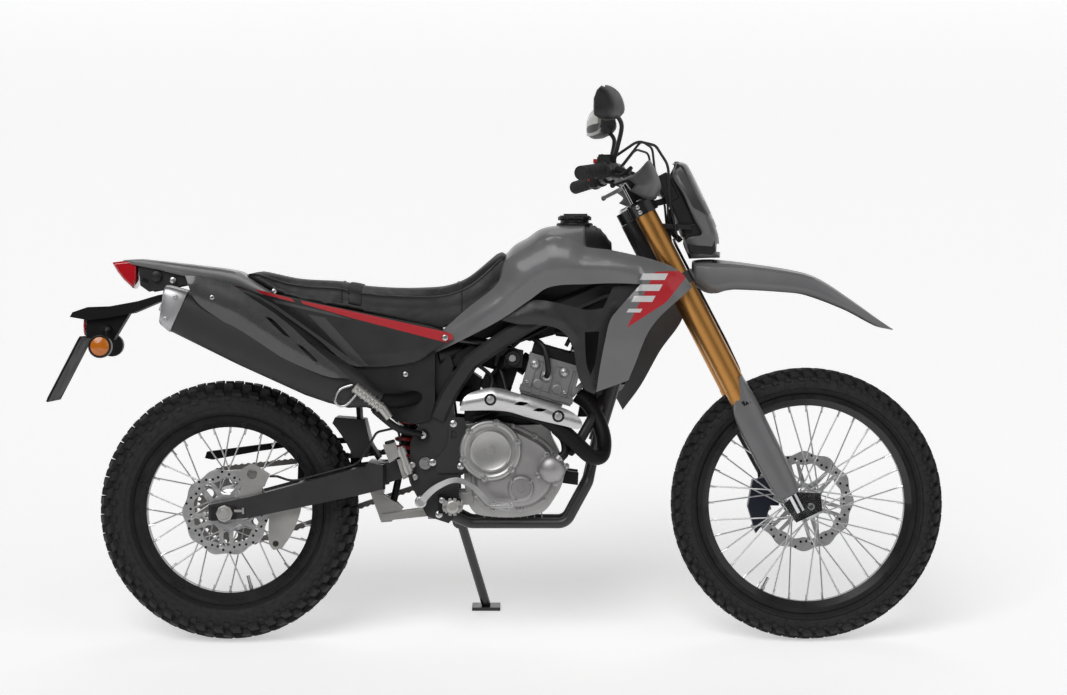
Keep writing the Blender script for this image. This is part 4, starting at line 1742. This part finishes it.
def inner_panels():
    """Dark panels that close the gaps between the frame, the seat and the wheel."""
    inner = Shape()
    inner.slab(((-700, 884), (-640, 858), (-560, 812), (-490, 760), (-424, 700), (-345, 694), (-345, 640),
        (-420, 650), (-470, 690), (-560, 765), (-640, 822), (-700, 860)), -98, -94)
    inner.slab(((-206, 736), (-168, 716), (-160, 690), (-176, 620), (-206, 596)), -84, 84)
    inner.slab(((-168, 716), (-120, 742), (-100, 742), (-132, 690), (-160, 690)), -70, -66)
    for outline in (((-628, 822), (-598, 818), (-546, 760), (-578, 762)),
                    ((-548, 754), (-522, 750), (-478, 700), (-506, 700))):
        inner.slab(outline, -178, -175)
    clear_r = REAR_TYRE_R + 16.5
    near = [(AXLE_R.x + clear_r * cos(a / 40), AXLE_R.z + clear_r * sin(a / 40)) for a in range(16, 30, 2)]
    inner.slab(near + [(-458, 562), (-384, 556), (-368, 490), (-376, 462)], -58, 58)
    inner.slab(((12, 846), (60, 898), (120, 910), (286, 910), (286, 850), (228, 820), (140, 824), (60, 842)), -62, -58)
    inner.make("inner_panels", black_plastic, soft=0.8)


def throttle_cover():
    """Cover of the throttle body, with its cap."""
    body = Shape()
    body.lathe(((20, 0), (20, 6), (18, 8)), (-14, -66, 710), RIGHT, 32)
    body.lathe(((9, 0), (9, 5)), (-14, -74, 710), RIGHT, 20, 1)
    body.slab(((-60, 690), (10, 686), (14, 730), (-52, 742)), -64, -30)
    body.make("throttle_cover", (black_plastic, zinc), soft=1.5)


def body_bolts():
    """Bolts of the tail and of the frame's plates."""
    bolts = Shape()
    for side in SIDES:
        for x, y, z, radius in ((-862, 72, 905, 6), (-606, 107, 877, 5), (-754, 82, 862, 5)):
            bolts.bolt((x, side * y, z), (0, side, 0), radius, radius - 1)
        bolts.lathe(((13, 0), (13, 3), (8, 5)), (-905, side * 58, 915), (0, side, 0), 28, 1)
        for x, z in ((-196, 322), (-190, 580)):
            bolts.bolt((x, side * 103, z), (0, side, 0), 7, 6)
        bolts.knob((-211, side * 103, 452), (0, side, 0), 9, 12)
    bolts.make("body_bolts", (bright_steel, black_plastic))


# ---------------------------------------------------------------- stage


CAMERA_EYE = Vector((39.0, -6500.0, 855.6))
SENSOR_MM = 36.0
LENS_MM = 86.79
SHIFT_UP = -0.0445
FLOOR_GLOW = 0.5
SUNS = (("key", 1.5, 40, (-0.35, -0.75, 0.9)), ("fill", 0.5, 60, (0.9, -0.6, 0.5)), ("rim", 0.7, 40, (0.1, 0.9, 0.7)))


def make_camera():
    """Level with the upright machine's middle, on its right."""
    lens = bpy.data.cameras.new("camera")
    lens.sensor_width, lens.lens, lens.shift_y = SENSOR_MM, LENS_MM, SHIFT_UP
    camera = placed("camera", lens)
    turn = PARK.to_3x3().normalized().to_4x4() @ Matrix.Rotation(radians(90), 4, "X")
    camera.matrix_world = Matrix.Translation(PARK @ CAMERA_EYE) @ turn
    bpy.context.scene.camera = camera


def make_floor():
    """Pale sheet that lies under the machine and curves up behind it, white where no shadow falls."""
    near, far, wide, bend, steps = -40.0, 40.0, 60.0, 8.0, 12
    profile = [(near, 0.0), (far - bend, 0.0)]
    profile += [(far - bend + bend * sin(pi / 2 * k / steps), bend - bend * cos(pi / 2 * k / steps)) for k in range(1,
        steps + 1)]
    profile.append((far, 40.0))
    mesh = bpy.data.meshes.new("floor")
    points = [(side * wide, y, z) for y, z in profile for side in SIDES]
    mesh.from_pydata(points, [], [(2 * k, 2 * k + 1, 2 * k + 3, 2 * k + 2) for k in range(len(profile) - 1)])
    floor = placed("floor", mesh)
    paper = Finish("floor_paper", (0.8, 0.8, 0.8), 0.9)
    paper.set("Specular IOR Level", 0.0)
    rays = paper.tree.nodes.new("ShaderNodeLightPath")
    seen = Value(paper, rays.outputs["Is Camera Ray"]).most(Value(paper, rays.outputs["Is Glossy Ray"]))
    glow = paper.node("ShaderNodeEmission", None, {"Color": (1, 1, 1, 1), "Strength": FLOOR_GLOW})
    bare = paper.node("ShaderNodeAddShader", None, {0: Value(paper, paper.skin.outputs[0]), 1: glow})
    shown = paper.node("ShaderNodeMixShader", None, {0: seen, 1: Value(paper, paper.skin.outputs[0]), 2: bare})
    paper.feed(paper.tree.nodes["Material Output"].inputs["Surface"], shown)
    mesh.materials.append(paper.data)


def make_light():
    """Three soft suns, and a sky that brightens upwards but is plain white to the camera."""
    world = bpy.data.worlds.new("studio")
    bpy.context.scene.world = world
    world.use_nodes = True
    tree = world.node_tree
    back = tree.nodes["Background"]
    rays = tree.nodes.new("ShaderNodeLightPath")
    white = tree.nodes.new("ShaderNodeBackground")
    white.inputs["Color"].default_value = (1, 1, 1, 1)
    mix = tree.nodes.new("ShaderNodeMixShader")
    spot = tree.nodes.new("ShaderNodeTexCoord")
    axes = tree.nodes.new("ShaderNodeSeparateXYZ")
    height = tree.nodes.new("ShaderNodeMapRange")
    for key, value in (("From Min", -0.1), ("From Max", 0.9), ("To Min", 0.3), ("To Max", 1.0)):
        height.inputs[key].default_value = value
    for source, socket in ((spot.outputs["Generated"], axes.inputs[0]), (axes.outputs["Z"], height.inputs["Value"]),
            (height.outputs[0], back.inputs["Strength"]), (rays.outputs["Is Camera Ray"], mix.inputs[0]),
            (back.outputs[0], mix.inputs[1]), (white.outputs[0], mix.inputs[2]),
            (mix.outputs[0], tree.nodes["World Output"].inputs["Surface"])):
        tree.links.new(source, socket)
    for name, strength, spread, toward in SUNS:
        lamp = bpy.data.lights.new(name, "SUN")
        lamp.energy = strength
        lamp.angle = radians(spread)
        placed(name, lamp).rotation_euler = Vector(toward).to_track_quat("Z", "Y").to_euler()


bpy.context.scene.view_settings.view_transform = "Standard"
make_camera()
make_floor()
make_light()
dress_nodes()
tyres()
discs()
nipples()
panels()
tank()
guards_for_frame()
covers()
tail()
tail_lamp()
silencer()
silencer_shield()
front_fender()
fork_shells()
seat()
engine_case()
engine_covers()
cylinder()
engine_hoses()
boxes_and_cables()
heat_shield()
hanger_plates()
pedals()
foot_pegs()
rear_brake()
controls()
clamp_bolts()
mirrors()
guards_for_hands()
cowl()
lamp_and_meter()
shock()
radiator_guard()
plate_and_reflectors()
caliper_faces()
chain_adjusters()
inner_panels()
throttle_cover()
body_bolts()
